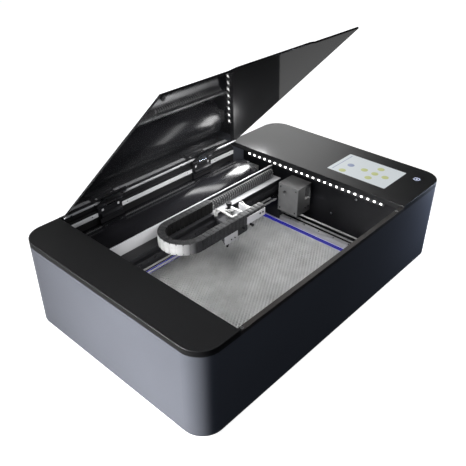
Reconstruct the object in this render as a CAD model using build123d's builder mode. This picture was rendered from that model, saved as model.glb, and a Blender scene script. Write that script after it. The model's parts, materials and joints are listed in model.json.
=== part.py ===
"""Desktop laser cutter with an open smoked lid, modelled as separate pieces.

Millimetres, +Z up. The origin is the centre of the footprint on the surface it stands on,
+X runs along the width towards the touch screen and -Y is the front.
"""
from build123d import *
import math
import os

# ---------------------------------------------------------------- driving sizes
width = 826.0
depth = 521.0
height = 211.5
corner_radius = 47.0
foot_height = 8.0
foot_radius = 16.0
foot_inset = 62.0
foot_chamfer = 1.5
sheet = 3.0
cover_height = 12.7
cover_skin = 3.0
left_cover_width = 94.0
right_cover_width = 191.6
fit_gap = 0.1
slide_gap = 0.3
shaft_gap = 0.05
over = 1.0  # how far a cut runs past the face it goes through
hairline = 0.01  # what a rounded square is short of a full circle

# places that follow from the casing
front_face = -depth / 2
rear_face = depth / 2
right_face = width / 2
inner_front = front_face + sheet
inner_rear = rear_face - sheet
wrap_top = height - cover_height
pan_top = foot_height + sheet
skin_under = height - cover_skin
opening_left = -right_face + left_cover_width
opening_right = right_face - right_cover_width
opening_middle = (opening_left + opening_right) / 2
cover_edge_fillet = 0.8

# slots that let air in
rear_slot = (5.0, 40.0)
rear_slot_pitch = 11.0
rear_slot_count = 12
rear_slot_place = (60.0, 60.0)
pan_slot = (60.0, 6.0)
pan_slot_pitch = 14.0
pan_slot_count = 8
pan_slot_inset = 83.0

# lid and hinge
lid_thickness = 4.0
lid_side_gap = 2.0
lid_open_angle = 45.9
tab_rise = 4.5
tab_base = 238.0
tab_top = 202.0
hinge_drop = 9.0
hinge_from_rear = 11.8
lid_setback = 7.6
lid_front_inset = 6.6
hinge_y = rear_face - hinge_from_rear
lid_length = hinge_y - lid_setback - front_face - lid_front_inset
hinge_z = height - hinge_drop
barrel_radius = 6.0
pin_radius = 3.0
hinge_width = 66.0
knuckle_width = 30.0
hinge_spacing = 293.0
knuckle_gap = 0.5
leaf_thickness = 3.0
leaf_reach = 42.0
leaf_body_thickness = 3.5
leaf_roll_radius = 7.0
leaf_roll_inset = 4.0
leaf_foot_thickness = 4.0
leaf_above_cover = 2.0
strip_depth = 12.5
strip_thickness = 1.5
strip_end_gap = 1.0

# rims between the top covers
rim_depth = 10.0
rim_skirt_drop = 28.8
lid_rest_gap = 0.3
rear_bar_depth = 10.5
rear_bar_front = rear_face - rear_bar_depth
rear_bar_bottom = 150.0
rear_bar_drop = 2.0
rear_bar_shelf = hinge_z - barrel_radius - rear_bar_drop
rear_rim_depth = 5.5
rail_strip_bottom = 178.0
rail_strip_height = 10.0
rail_strip_thickness = 2.0
rail_strip_ends = (3.0, 2.0)
hinge_side_gap = 1.0
rail_screw_inset = 16.0
rail_screw_radius = 2.0

# chamber walls and lights
left_wall_x = opening_left - 43.0
right_wall_x = opening_right + 50.6
wall_sheet = 2.0
led_bar_depth = 4.0
led_bar_drop = 9.0
led_pitch = 17.2
led_from_rear = 68.5
led_from_front = 50.0
led_first_y = rear_face - led_from_rear
led_count = 1 + int((led_first_y - front_face - led_from_front) / led_pitch)
led_size = (1.2, 5.0, 3.6)
led_drop = 3.8
led_proud = 0.2
led_bar_end = 6.0

# laser tube and its cover
tube_from_rear = 70.5
tube_y = rear_face - tube_from_rear
tube_z = 136.0
tube_radius = 25.0
tube_wall = 2.5
tube_left = left_wall_x + 17.0
tube_right = opening_right - 21.4
tube_cap = 8.0
tube_bore = 5.0
nipple_radius = 5.0
nipple_length = 10.0
nipple_inset = 15.0
nipple_places = (tube_left + nipple_inset, tube_right - nipple_inset)
cover_center_z = 120.0
cover_radius = 62.0
cover_sheet = 2.0
cover_flange = 12.0
cover_rear_y = rear_bar_front - cover_flange
cover_left = left_wall_x + 4.0
cover_right = opening_right - 16.4
clamp_places = (tube_left + 95.0, tube_right - 70.0)
clamp_width = 16.0
clamp_band = 4.0
clamp_post_depth = 24.0
beam_bore = 6.0
mirror_post = (16.0, 10.0)
mirror_block = (28.0, 28.0, 40.0)
mirror_block_rear = 16.0
hose_wall = 2.0
hose_bore = 3.5
hose_gap = 1.0
hose_overlap = 12.0
hose_tail = 17.0
coupling_radius = 8.0
coupling_flange = 4.0
coupling_back = 8.6
coupling_rim = 3.0

# bed
bed_margin = 16.2
bed_width = opening_right - opening_left - 2 * bed_margin
bed_front = front_face + 60.5
bed_rear = rear_face - 106.5
bed_rim = 6.0
bed_top = 38.0
core_height = 8.0
core_ledge = 5.0

# Y drive: rails, belts and pulleys either side of the bed
rail_width = 12.0
rail_height = 8.0
rail_base_width = 19.0
rail_base_top = 45.0
rail_front = front_face + 15.5
rail_rear = rear_face - 110.5
belt_width = 6.0
belt_thickness = 1.4
pulley_radius = 5.4
pulley_play = 0.3
pulley_side_play = 0.2
flange_radius = pulley_radius + 2.8
flange_width = 1.4
y_belt_z = 72.0
y_drive_y = rear_face - 90.5
y_idler_y = front_face + 25.5
shaft_radius = 4.0
shaft_in_motor = 12.0
idler_pin_radius = 2.5
idler_plate_gap = 0.7
idler_plate_length = 16.0
idler_plate_rise = 7.0
motor_size = 42.0
motor_length = 40.0
motor_chamfer = 4.0

# gantry
beam_left = opening_left - 1.0
beam_right = opening_right + 0.6
beam_front = rear_face - 168.5
beam_rear = beam_front + 21.0
beam_bottom = 113.0
beam_top = 158.0
beam_wall = 2.5
angle_thickness = 2.0
shelf_front = beam_front - 7.0
angle_top = 189.0
truck_width = 22.0
truck_front = beam_front - 16.0
truck_rear = beam_rear + 22.0
truck_skirt = 6.0
truck_belt_gap = 1.5
x_rail_z = 136.0
x_rail_end = 6.0
rail_screw_pitch = 40.0
rail_screw_count = 13
rail_counterbore = (3.0, 2.5)
x_belt_bottom = 113.4
x_belt_width = 5.0
x_belt_y = beam_front - 12.0
x_flange_width = 1.0
x_drive_play = 0.8
x_drive_x = opening_left - truck_width / 2 - flange_radius - x_drive_play
x_idler_x = opening_right - 31.4
x_idler_plate = (8.0, 3.0, 1.4)
x_pin_proud = 2.0
x_motor_size = 35.0
x_motor_height = 34.0
x_motor_chamfer = 3.0
motor_plate_gap = 1.5
motor_plate_thickness = 2.0
motor_plate_reach = 18.0
motor_pin_gap = 1.0
mirror_box = (56.0, 64.0, 78.0)
mirror_box_center = (opening_right + 8.6, beam_front - 48.0)
mirror_above_belt = 0.9
mirror_box_bottom = y_belt_z + pulley_radius + pulley_play + belt_thickness + mirror_above_belt
mirror_box_chamfer = 2.0
mirror_window = (2.0, 24.0, 24.0)
mirror_window_rise = (38.0, 72.0)
mirror_knobs = (6.0, 20.0)
mirror_knob_radius = 3.2
mirror_knob_depth = 8.0
mirror_knob_rise = 14.0

# laser head
head_center_x = 2.0
head_width = 76.0
head_front = beam_front - 54.0
head_rear = beam_front - 26.0
head_bottom = 106.0
head_top = 158.0
head_chamfer = 3.0
head_beam_bore = 5.0
runner_length = 50.0
runner_front = beam_front - 16.0
runner_bottom = 122.0
runner_top = 150.0
runner_neck_inset = 6.0
runner_neck_rise = 2.0
lens_x = head_center_x - 16.0
lens_y = beam_front - 38.0
lens_radius = 10.0
lens_bottom = 102.0
lens_top_drop = 6.0
lens_bore_rise = 4.0
lens_bore = 1.2
lens_step = 1.0
nozzle_bottom = 78.0
nozzle_radius = 2.5
front_plate_width = 44.0
front_plate_left = head_center_x - 44.0
front_plate_thickness = 3.0
front_plate_bottom = 102.0
plate_holes = (22.0, 34.0)
plate_hole_radius = 2.2
plate_hole_rise = 8.0
bracket_face_y = beam_front - 94.0
bracket_sheet = 2.0
bracket_width = 62.7
bracket_top = 179.0
bracket_flange = 24.0
bracket_web = 4.0
bracket_web_insets = (12.0, 8.0)
bracket_web_reach = 20.0
bracket_web_lap = 6.0
bracket_holes = (18.0, 8.0)
bracket_hole_radius = 1.6
bracket_hole_drop = 8.0

# cable chain
chain_bend_x = head_center_x - 151.0
chain_bend_y = beam_front - 37.0
chain_outer = 57.0
chain_inner = 38.5
chain_bottom = 160.3
chain_top = 189.0
chain_anchor_x = opening_middle + 28.8
chain_end_x = head_center_x - 10.0
chain_link = 14.0
link_groove = 0.8
bundle_radius = 8.0
bundle_end = opening_right - 16.4
bundle_lift = 0.2

# touch screen and start button
screen_x = right_face - 97.5
screen_y = front_face + 155.0
screen_width = 99.0
screen_length = 153.0
screen_corner = 3.0
screen_border = 6.0
screen_back = 8.0
button_x = right_face - 57.0
button_y = front_face + 41.5
button_radius = 10.0
button_proud = 0.7
button_fillet = 0.5
button_depth = 8.0
button_flange = 1.5
button_stem = (4.0, 12.0)
switch_radius = 14.0
switch_depth = 16.0
switch_well = 6.0
switch_floor = 1.0
switch_play = 0.5
bay_gap = 13.0
board_size = (110.0, 150.0, 1.6)
board_lift = 12.0
board_front = front_face + 55.5
board_post_inset = 5.0
board_post_radius = 3.0
chip_boxes = ((15.0, 15.0, 30.0, 40.0, 14.0), (55.0, 85.0, 40.0, 40.0, 9.0))
driver_box = (7.0, 67.0, 20.0, 16.0, 12.0)
driver_pitch = 30.0
driver_count = 3
supply_size = (115.0, 150.0, 85.0)
supply_rear = rear_face - 145.5
supply_slot = (2.0, 5.0, 45.0)
supply_slot_pitch = 12.0
supply_slot_count = 9
supply_slot_rise = 50.0

# rear panel
exhaust_x = opening_middle - 71.2
exhaust_z = 62.0
exhaust_radius = 50.0
exhaust_wall = 2.5
exhaust_length = 30.0
exhaust_plate = 116.0
fan_depth = 40.0
fan_ring = 3.0
fan_lap = 1.5
fan_spokes = 3
fan_spoke = (6.0, 4.0)
fan_hub_depth = 6.0
fan_pin_length = 10.0
rotor_radius = exhaust_radius - 5.5
rotor_hub = 17.0
rotor_inset = (4.0, 8.0)
rotor_blades = 7
rotor_blade = (2.5, 26.0)
rotor_blade_pitch = 35.0
rotor_blade_root = 2.0
rotor_bore_depth = 9.0
inlet_x = right_face - 73.0
inlet_z = 57.0
inlet_width = 44.0
inlet_height = 62.0
inlet_depth = 20.0
inlet_flange = 4.0
inlet_flange_thickness = 2.0
socket_size = (25.0, 14.0, 16.0)
socket_rise = 15.0
socket_pins = (-7.0, 0.0, 7.0)
socket_pin = (2.0, 10.0, 4.0)
rocker_width = 20.0
rocker_half = 9.3
rocker_top_inset = 6.0
rocker_sink = 3.0
rocker_well = 12.0
rocker_pin_radius = 1.5
rocker_tilt = 12.0


def block(x0, x1, y0, y1, z0, z1, mode=Mode.ADD):
    """Add or cut a box given by its two limits along each axis."""
    with Locations(((x0 + x1) / 2, (y0 + y1) / 2, (z0 + z1) / 2)):
        Box(x1 - x0, y1 - y0, z1 - z0, mode=mode)


def rod(axis, center, radius, start, end, mode=Mode.ADD):
    """Add or cut a round bar along X, Y or Z between two places on that axis."""
    middle = (start + end) / 2
    if axis == "X":
        place, turn = (middle, center[0], center[1]), (0, 90, 0)
    elif axis == "Y":
        place, turn = (center[0], middle, center[1]), (90, 0, 0)
    else:
        place, turn = (center[0], center[1], middle), (0, 0, 0)
    with Locations(place):
        Cylinder(radius, end - start, rotation=turn, mode=mode)


# ---------------------------------------------------------------- casing
with BuildPart() as casing_wrap:
    with BuildSketch(Plane.XY.offset(foot_height)):
        RectangleRounded(width, depth, corner_radius)
        RectangleRounded(width - 2 * sheet, depth - 2 * sheet, corner_radius - sheet, mode=Mode.SUBTRACT)
    extrude(amount=wrap_top - foot_height)
    duct_radius = exhaust_radius - exhaust_wall
    rod("Y", (exhaust_x, exhaust_z), duct_radius, inner_rear - over, rear_face + over, mode=Mode.SUBTRACT)
    block(inlet_x - inlet_width / 2 - fit_gap, inlet_x + inlet_width / 2 + fit_gap,
          inner_rear - over, rear_face + over,
          inlet_z - inlet_height / 2 - fit_gap, inlet_z + inlet_height / 2 + fit_gap, mode=Mode.SUBTRACT)
    for nipple_x in nipple_places:
        rod("Y", (nipple_x, tube_z), coupling_radius + fit_gap, inner_rear - over, rear_face + over,
            mode=Mode.SUBTRACT)
    with Locations((rear_slot_place[0], rear_face - sheet / 2, rear_slot_place[1])):
        with GridLocations(rear_slot_pitch, 0, rear_slot_count, 1):
            Box(rear_slot[0], 2 * sheet, rear_slot[1], mode=Mode.SUBTRACT)

with BuildPart() as base_pan:
    with BuildSketch(Plane.XY.offset(foot_height)):
        pan_inset = sheet + fit_gap
        RectangleRounded(width - 2 * pan_inset, depth - 2 * pan_inset, corner_radius - pan_inset)
    extrude(amount=sheet)
    with BuildSketch(Plane.XY.offset(foot_height)):
        with Locations((right_face - pan_slot_inset, 0)):
            with GridLocations(pan_slot_pitch, 0, pan_slot_count, 1):
                SlotOverall(*pan_slot, rotation=90)
    extrude(amount=sheet, mode=Mode.SUBTRACT)

with BuildPart() as feet:
    with GridLocations(width - 2 * foot_inset, depth - 2 * foot_inset, 2, 2):
        Cylinder(foot_radius, foot_height, align=(Align.CENTER, Align.CENTER, Align.MIN))
    chamfer(feet.edges().group_by(Axis.Z)[0], foot_chamfer)


def cover_outline(x0, x1):
    """Plan of a top cover: the casing's rounded outline between two places along X."""
    RectangleRounded(width, depth, corner_radius)
    with Locations(((x0 + x1) / 2, 0)):
        Rectangle(x1 - x0, depth, mode=Mode.INTERSECT)


def top_cover(x0, x1, openings=()):
    """A top cover: a shallow lid-like shell between two places along X, with holes through its skin."""
    with BuildPart() as cover:
        with BuildSketch(Plane.XY.offset(wrap_top)):
            cover_outline(x0, x1)
        extrude(amount=cover_height)
        with BuildSketch(Plane.XY.offset(wrap_top)):
            cover_outline(x0, x1)
            offset(amount=-cover_skin, mode=Mode.REPLACE)
        extrude(amount=cover_height - cover_skin, mode=Mode.SUBTRACT)
        fillet(cover.edges().group_by(Axis.Z)[-1], cover_edge_fillet)
        for center, half_x, half_y, corner in openings:
            with BuildSketch(Plane.XY.offset(skin_under)):
                with Locations(center):
                    RectangleRounded(2 * half_x, 2 * half_y, corner)
            extrude(amount=cover_skin, mode=Mode.SUBTRACT)
    return cover


button_hole = button_radius + slide_gap
left_top_cover = top_cover(-right_face, opening_left)
right_top_cover = top_cover(opening_right, right_face, openings=(
    ((screen_x, screen_y), screen_width / 2 + slide_gap, screen_length / 2 + slide_gap, screen_corner),
    ((button_x, button_y), button_hole, button_hole, button_hole - hairline),
))

rim_top = height - lid_thickness - lid_rest_gap
with BuildPart() as front_rim:
    block(opening_left, opening_right, front_face, front_face + rim_depth, wrap_top, rim_top)
    block(opening_left, opening_right, inner_front + fit_gap, front_face + rim_depth,
          wrap_top - rim_skirt_drop, wrap_top)

with BuildPart() as rear_top_bar:
    block(opening_left, opening_right, rear_face - rear_rim_depth, rear_face, wrap_top, height)
    block(opening_left, opening_right, rear_face - rear_rim_depth, inner_rear - fit_gap,
          rear_bar_bottom, wrap_top)
    block(opening_left, opening_right, rear_bar_front, inner_rear - fit_gap, rear_bar_bottom, rear_bar_shelf)

hinge_centers = [opening_middle + side * hinge_spacing / 2 for side in (-1, 1)]
with BuildPart() as hinge_rail:
    rail_ends = [opening_left + rail_strip_ends[0]]
    for center in hinge_centers:
        rail_ends += [center - hinge_width / 2 - hinge_side_gap, center + hinge_width / 2 + hinge_side_gap]
    rail_ends.append(opening_right - rail_strip_ends[1])
    for start, end in zip(rail_ends[::2], rail_ends[1::2]):
        block(start, end, rear_bar_front - rail_strip_thickness, rear_bar_front,
              rail_strip_bottom, rail_strip_bottom + rail_strip_height)
        for screw_x in (start + rail_screw_inset, end - rail_screw_inset):
            rod("Y", (screw_x, rail_strip_bottom + rail_strip_height / 2), rail_screw_radius,
                rear_bar_front - rail_strip_thickness - over, rear_bar_front, mode=Mode.SUBTRACT)


def chamber_wall(x0, side):
    """A sheet wall of the chamber, with the hole that the drive shaft turns in."""
    with BuildPart() as wall:
        outer = x0 + side * wall_sheet
        block(min(x0, outer), max(x0, outer), inner_front + fit_gap, inner_rear - fit_gap, pan_top, wrap_top)
        rod("X", (y_drive_y, y_belt_z), shaft_radius + shaft_gap,
            min(x0, outer) - over, max(x0, outer) + over, mode=Mode.SUBTRACT)
    return wall


left_chamber_wall = chamber_wall(left_wall_x, -1)
right_chamber_wall = chamber_wall(right_wall_x, 1)

led_last_y = led_first_y - (led_count - 1) * led_pitch
with BuildPart() as led_strips:
    for edge, side in ((opening_left, -1), (opening_right, 1)):
        inner = edge + side * (led_size[0] - led_proud)
        outer = inner + side * led_bar_depth
        block(min(inner, outer), max(inner, outer), led_last_y - led_bar_end, led_first_y + led_bar_end,
              wrap_top - led_bar_drop, wrap_top)

with BuildPart() as led_chips:
    for edge, side in ((opening_left, -1), (opening_right, 1)):
        chip_x = edge + side * (led_size[0] / 2 - led_proud)
        with Locations((chip_x, (led_first_y + led_last_y) / 2, wrap_top - led_drop)):
            with GridLocations(0, led_pitch, 1, led_count):
                Box(*led_size)

# ---------------------------------------------------------------- laser tube bay
with BuildPart() as tube_cover:
    with BuildSketch(Plane.YZ.offset(cover_left)):
        with Locations((tube_y, cover_center_z)):
            Circle(cover_radius)
            Circle(cover_radius - cover_sheet, mode=Mode.SUBTRACT)
        with Locations((tube_y, cover_center_z - cover_radius)):
            Rectangle(3 * cover_radius, 2 * cover_radius, mode=Mode.SUBTRACT)
        with Locations((cover_rear_y + cover_radius, cover_center_z)):
            Rectangle(2 * cover_radius, 3 * cover_radius, mode=Mode.SUBTRACT)
        cover_end_z = cover_center_z + math.sqrt(cover_radius ** 2 - (cover_rear_y - tube_y) ** 2)
        with Locations((rear_bar_front, cover_end_z)):
            Rectangle(cover_flange + cover_sheet / 2, cover_sheet, align=(Align.MAX, Align.MAX))
    extrude(amount=cover_right - cover_left)

with BuildPart() as laser_tube:
    rod("X", (tube_y, tube_z), tube_radius, tube_left, tube_right)
    rod("X", (tube_y, tube_z), tube_radius - tube_wall, tube_left + tube_cap, tube_right - tube_cap,
        mode=Mode.SUBTRACT)
    rod("X", (tube_y, tube_z), tube_bore, tube_left - over, tube_right + over, mode=Mode.SUBTRACT)
    nipple_start = tube_y + tube_radius - tube_wall / 2
    for nipple_x in nipple_places:
        rod("Y", (nipple_x, tube_z), nipple_radius, nipple_start, nipple_start + nipple_length)

with BuildPart() as tube_clamps:
    for clamp_x in clamp_places:
        x0, x1 = clamp_x - clamp_width / 2, clamp_x + clamp_width / 2
        clamp_outer = tube_radius + slide_gap + clamp_band
        rod("X", (tube_y, tube_z), clamp_outer, x0, x1)
        block(x0, x1, tube_y - clamp_post_depth / 2, tube_y + clamp_post_depth / 2, pan_top, tube_z)
        rod("X", (tube_y, tube_z), tube_radius + slide_gap, x0 - over, x1 + over, mode=Mode.SUBTRACT)

beam_x = mirror_box_center[0]
with BuildPart() as first_mirror_mount:
    half_post = mirror_post[0] / 2
    half_block = mirror_block[0] / 2
    block_rear = tube_y + mirror_block_rear
    block_front = block_rear - mirror_block[1]
    block_bottom = tube_z - mirror_block[2] / 2
    block(beam_x - half_post, beam_x + half_post, block_rear - mirror_post[1], block_rear,
          pan_top, block_bottom)
    block(beam_x - half_block, beam_x + half_block, block_front, block_rear,
          block_bottom, block_bottom + mirror_block[2])
    rod("X", (tube_y, tube_z), beam_bore, beam_x - half_block - over, beam_x, mode=Mode.SUBTRACT)
    rod("Y", (beam_x, tube_z), beam_bore, block_front - over, tube_y, mode=Mode.SUBTRACT)

with BuildPart() as coolant_connections:
    hose_end = rear_face - coupling_back
    hose_start = tube_y + tube_radius + hose_gap
    rim_rear = rear_face + coupling_rim
    for nipple_x in nipple_places:
        center = (nipple_x, tube_z)
        rod("Y", center, nipple_radius + hose_wall, hose_start, hose_end)
        rod("Y", center, nipple_radius + fit_gap, hose_start - over, hose_end, mode=Mode.SUBTRACT)
        rod("Y", center, nipple_radius, hose_end - hose_overlap, hose_end + over)
        rod("Y", center, coupling_radius, hose_end + fit_gap, rim_rear)
        rod("Y", center, coupling_radius + coupling_flange, rear_face, rim_rear)
        rod("Y", center, nipple_radius, rim_rear, rim_rear + hose_tail)
        rod("Y", center, hose_bore, hose_end - hose_overlap - over, rim_rear + hose_tail + over,
            mode=Mode.SUBTRACT)

# ---------------------------------------------------------------- exhaust and mains inlet
exhaust_center = (exhaust_x, exhaust_z)
with BuildPart() as exhaust_collar:
    plate_half = exhaust_plate / 2
    plate_bottom = exhaust_z - exhaust_radius
    collar_rear = rear_face + sheet + exhaust_length
    block(exhaust_x - plate_half, exhaust_x + plate_half, rear_face, rear_face + sheet,
          plate_bottom, exhaust_z + plate_half)
    rod("Y", exhaust_center, exhaust_radius, rear_face, collar_rear)
    rod("Y", exhaust_center, duct_radius, rear_face - over, collar_rear + over, mode=Mode.SUBTRACT)

fan_rear = inner_rear - fit_gap
hub_front = fan_rear - fan_hub_depth
with BuildPart() as exhaust_fan_frame:
    frame_outer = duct_radius + fan_lap
    frame_inner = frame_outer - fan_ring
    rod("Y", exhaust_center, frame_outer, fan_rear - fan_depth, fan_rear)
    rod("Y", exhaust_center, frame_inner, fan_rear - fan_depth - over, fan_rear + over, mode=Mode.SUBTRACT)
    rod("Y", exhaust_center, rotor_hub, hub_front, fan_rear)
    spoke_plane = Plane(origin=(exhaust_x, hub_front, exhaust_z), x_dir=(1, 0, 0), z_dir=(0, 1, 0))
    with BuildSketch(spoke_plane):
        with PolarLocations((rotor_hub + frame_inner) / 2, fan_spokes, start_angle=90):
            Rectangle(frame_inner - rotor_hub + fan_ring, fan_spoke[0])
    extrude(amount=fan_spoke[1])
    rod("Y", exhaust_center, pin_radius, hub_front - fan_pin_length, hub_front)

rotor_front = fan_rear - fan_depth + rotor_inset[0]
rotor_rear = fan_rear - rotor_inset[1]
with BuildPart() as exhaust_fan_rotor:
    rod("Y", exhaust_center, rotor_hub, rotor_front, rotor_rear)
    for blade in range(rotor_blades):
        blade_angle = 2 * math.pi * blade / rotor_blades
        outward = Vector(math.cos(blade_angle), 0, math.sin(blade_angle))
        rotor_center = Vector(exhaust_x, (rotor_front + rotor_rear) / 2, exhaust_z)
        blade_center = rotor_center + outward * (rotor_hub - rotor_blade_root)
        with BuildSketch(Plane(origin=blade_center, x_dir=outward.cross(Vector(0, 1, 0)), z_dir=outward)):
            Rectangle(*rotor_blade, rotation=rotor_blade_pitch)
        extrude(amount=rotor_radius - rotor_hub)
    rod("Y", exhaust_center, pin_radius + shaft_gap, rotor_rear - rotor_bore_depth, rotor_rear + over,
        mode=Mode.SUBTRACT)

rocker_z = inlet_z + inlet_height / 2 - rocker_top_inset - rocker_half
rocker_y = rear_face - rocker_sink
with BuildPart() as power_inlet:
    half_width = inlet_width / 2
    half_height = inlet_height / 2
    inlet_rear = rear_face + inlet_flange_thickness
    block(inlet_x - half_width, inlet_x + half_width, rear_face - inlet_depth, rear_face,
          inlet_z - half_height, inlet_z + half_height)
    block(inlet_x - half_width - inlet_flange, inlet_x + half_width + inlet_flange, rear_face, inlet_rear,
          inlet_z - half_height - inlet_flange, inlet_z + half_height + inlet_flange)
    socket_z = inlet_z - half_height + socket_rise
    socket_floor = rear_face - socket_size[1]
    block(inlet_x - socket_size[0] / 2, inlet_x + socket_size[0] / 2, socket_floor, inlet_rear + over,
          socket_z - socket_size[2] / 2, socket_z + socket_size[2] / 2, mode=Mode.SUBTRACT)
    for pin_x in socket_pins:
        block(inlet_x + pin_x - socket_pin[0] / 2, inlet_x + pin_x + socket_pin[0] / 2,
              socket_floor - over, socket_floor + socket_pin[1],
              socket_z - socket_pin[2] / 2, socket_z + socket_pin[2] / 2)
    block(inlet_x - rocker_width / 2, inlet_x + rocker_width / 2, rear_face - rocker_well, inlet_rear + over,
          rocker_z - rocker_half, rocker_z + rocker_half, mode=Mode.SUBTRACT)
    rod("X", (rocker_y, rocker_z), rocker_pin_radius, inlet_x - rocker_width / 2, inlet_x + rocker_width / 2)

tilt = math.radians(-rocker_tilt)
rocker_plane = Plane(origin=(inlet_x - rocker_width / 2 + slide_gap, rocker_y, rocker_z),
                     x_dir=(0, math.cos(tilt), math.sin(tilt)), z_dir=(1, 0, 0))
with BuildPart() as power_rocker:
    with BuildSketch(rocker_plane):
        with BuildLine():
            Polyline((-4, -6.5), (6, -8), (3.8, 0), (6, 8), (-4, 6.5), close=True)
        make_face()
        Circle(rocker_pin_radius + shaft_gap, mode=Mode.SUBTRACT)
    extrude(amount=rocker_width - 2 * slide_gap)

# ---------------------------------------------------------------- screen, button and electronics
with BuildPart() as touch_screen:
    with BuildSketch(Plane.XY.offset(skin_under)):
        with Locations((screen_x, screen_y)):
            RectangleRounded(screen_width, screen_length, screen_corner)
    extrude(amount=cover_skin)
    with BuildSketch(Plane.XY.offset(skin_under - screen_back)):
        with Locations((screen_x, screen_y)):
            Rectangle(screen_width + 2 * screen_border, screen_length + 2 * screen_border)
    extrude(amount=screen_back)

button_center = (button_x, button_y)
button_bottom = height - button_depth
stem_radius, stem_length = button_stem
with BuildPart() as start_button:
    rod("Z", button_center, button_radius, button_bottom, height + button_proud)
    fillet(start_button.edges().group_by(Axis.Z)[-1], button_fillet)
    rod("Z", button_center, button_radius + button_flange, button_bottom, button_bottom + button_flange)
    rod("Z", button_center, stem_radius, button_bottom - stem_length, button_bottom)

with BuildPart() as start_switch:
    switch_bottom = button_bottom - switch_depth
    rod("Z", button_center, switch_radius, switch_bottom, skin_under)
    rod("Z", button_center, button_radius + button_flange + switch_play, button_bottom - switch_well,
        skin_under + over, mode=Mode.SUBTRACT)
    rod("Z", button_center, stem_radius + shaft_gap, switch_bottom + switch_floor, button_bottom,
        mode=Mode.SUBTRACT)

bay_left = right_wall_x + bay_gap
board_bottom = pan_top + board_lift


def board_part(x, y, length, breadth, rise):
    """A box on the board, given by its low corner from the board's own, its sides and its height."""
    block(bay_left + x, bay_left + x + length, board_front + y, board_front + y + breadth,
          board_bottom, board_bottom + rise)


with BuildPart() as control_board:
    board_part(0, 0, *board_size)
    with Locations((bay_left + board_size[0] / 2, board_front + board_size[1] / 2, pan_top)):
        with GridLocations(board_size[0] - 2 * board_post_inset, board_size[1] - 2 * board_post_inset, 2, 2):
            Cylinder(board_post_radius, board_lift, align=(Align.CENTER, Align.CENTER, Align.MIN))
    for chip in chip_boxes:
        board_part(*chip)
    for driver in range(driver_count):
        board_part(driver_box[0], driver_box[1] + driver * driver_pitch, *driver_box[2:])

with BuildPart() as high_voltage_supply:
    block(bay_left, bay_left + supply_size[0], supply_rear - supply_size[1], supply_rear,
          pan_top, pan_top + supply_size[2])
    with Locations((bay_left, supply_rear - supply_size[1] / 2, pan_top + supply_slot_rise)):
        with GridLocations(0, supply_slot_pitch, 1, supply_slot_count):
            Box(2 * supply_slot[0], supply_slot[1], supply_slot[2], mode=Mode.SUBTRACT)

# ---------------------------------------------------------------- bed
bed_left = opening_middle - bed_width / 2
bed_right = opening_middle + bed_width / 2
with BuildPart() as honeycomb_frame:
    block(bed_left - bed_rim, bed_right + bed_rim, bed_front - bed_rim, bed_rear + bed_rim, pan_top, bed_top)
    block(bed_left, bed_right, bed_front, bed_rear, bed_top - core_height, bed_top, mode=Mode.SUBTRACT)
    block(bed_left + core_ledge, bed_right - core_ledge, bed_front + core_ledge, bed_rear - core_ledge,
          pan_top, bed_top, mode=Mode.SUBTRACT)

with BuildPart() as honeycomb_core:
    block(bed_left + fit_gap, bed_right - fit_gap, bed_front + fit_gap, bed_rear - fit_gap,
          bed_top - core_height, bed_top)

# ---------------------------------------------------------------- Y drive
left_rail_x = opening_left
right_rail_x = opening_right
pulley_half = belt_width / 2 + pulley_side_play


def y_rail(rail_x, side):
    """A guide rail on its base, with the front idler's upright and pin."""
    with BuildPart() as rail:
        half_base = rail_base_width / 2
        block(rail_x - half_base, rail_x + half_base, rail_front, rail_rear, pan_top, rail_base_top)
        block(rail_x - rail_width / 2, rail_x + rail_width / 2, rail_front, rail_rear,
              rail_base_top, rail_base_top + rail_height)
        reach = pulley_half + flange_width + idler_plate_gap
        inner = rail_x + side * reach
        outer = rail_x + side * half_base
        tip = rail_x - side * reach
        block(min(inner, outer), max(inner, outer), y_idler_y - idler_plate_length / 2,
              y_idler_y + idler_plate_length / 2, rail_base_top, y_belt_z + idler_plate_rise)
        rod("X", (y_idler_y, y_belt_z), idler_pin_radius, min(inner, tip), max(inner, tip))
    return rail


left_y_rail = y_rail(left_rail_x, -1)
right_y_rail = y_rail(right_rail_x, 1)


def pulley(axis, center, middle, bore=0.0):
    """A flanged belt pulley about the given axis, added to the part in work."""
    half = pulley_half + flange_width
    rod(axis, center, pulley_radius, middle - half, middle + half)
    rod(axis, center, flange_radius, middle - half, middle - pulley_half)
    rod(axis, center, flange_radius, middle + pulley_half, middle + half)
    if bore:
        rod(axis, center, bore, middle - half - over, middle + half + over, mode=Mode.SUBTRACT)


def belt_loop(plane, start, end, band):
    """A closed belt round two pulleys at (start, 0) and (end, 0) of a plane."""
    loop_inner = pulley_radius + pulley_play
    loop_outer = loop_inner + belt_thickness
    with BuildPart() as loop:
        with BuildSketch(plane):
            with Locations(((start + end) / 2, 0)):
                SlotCenterToCenter(abs(end - start), 2 * loop_outer)
                SlotCenterToCenter(abs(end - start), 2 * loop_inner, mode=Mode.SUBTRACT)
        extrude(amount=band / 2, both=True)
    return loop


left_y_belt = belt_loop(Plane(origin=(left_rail_x, 0, y_belt_z), x_dir=(0, 1, 0), z_dir=(1, 0, 0)),
                        y_idler_y, y_drive_y, belt_width)
right_y_belt = belt_loop(Plane(origin=(right_rail_x, 0, y_belt_z), x_dir=(0, 1, 0), z_dir=(1, 0, 0)),
                         y_idler_y, y_drive_y, belt_width)

drive_center = (y_drive_y, y_belt_z)
motor_face = right_wall_x + wall_sheet
with BuildPart() as y_drive_shaft:
    rod("X", drive_center, shaft_radius, left_wall_x - wall_sheet, motor_face + shaft_in_motor)
    pulley("X", drive_center, left_rail_x)
    pulley("X", drive_center, right_rail_x)

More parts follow.
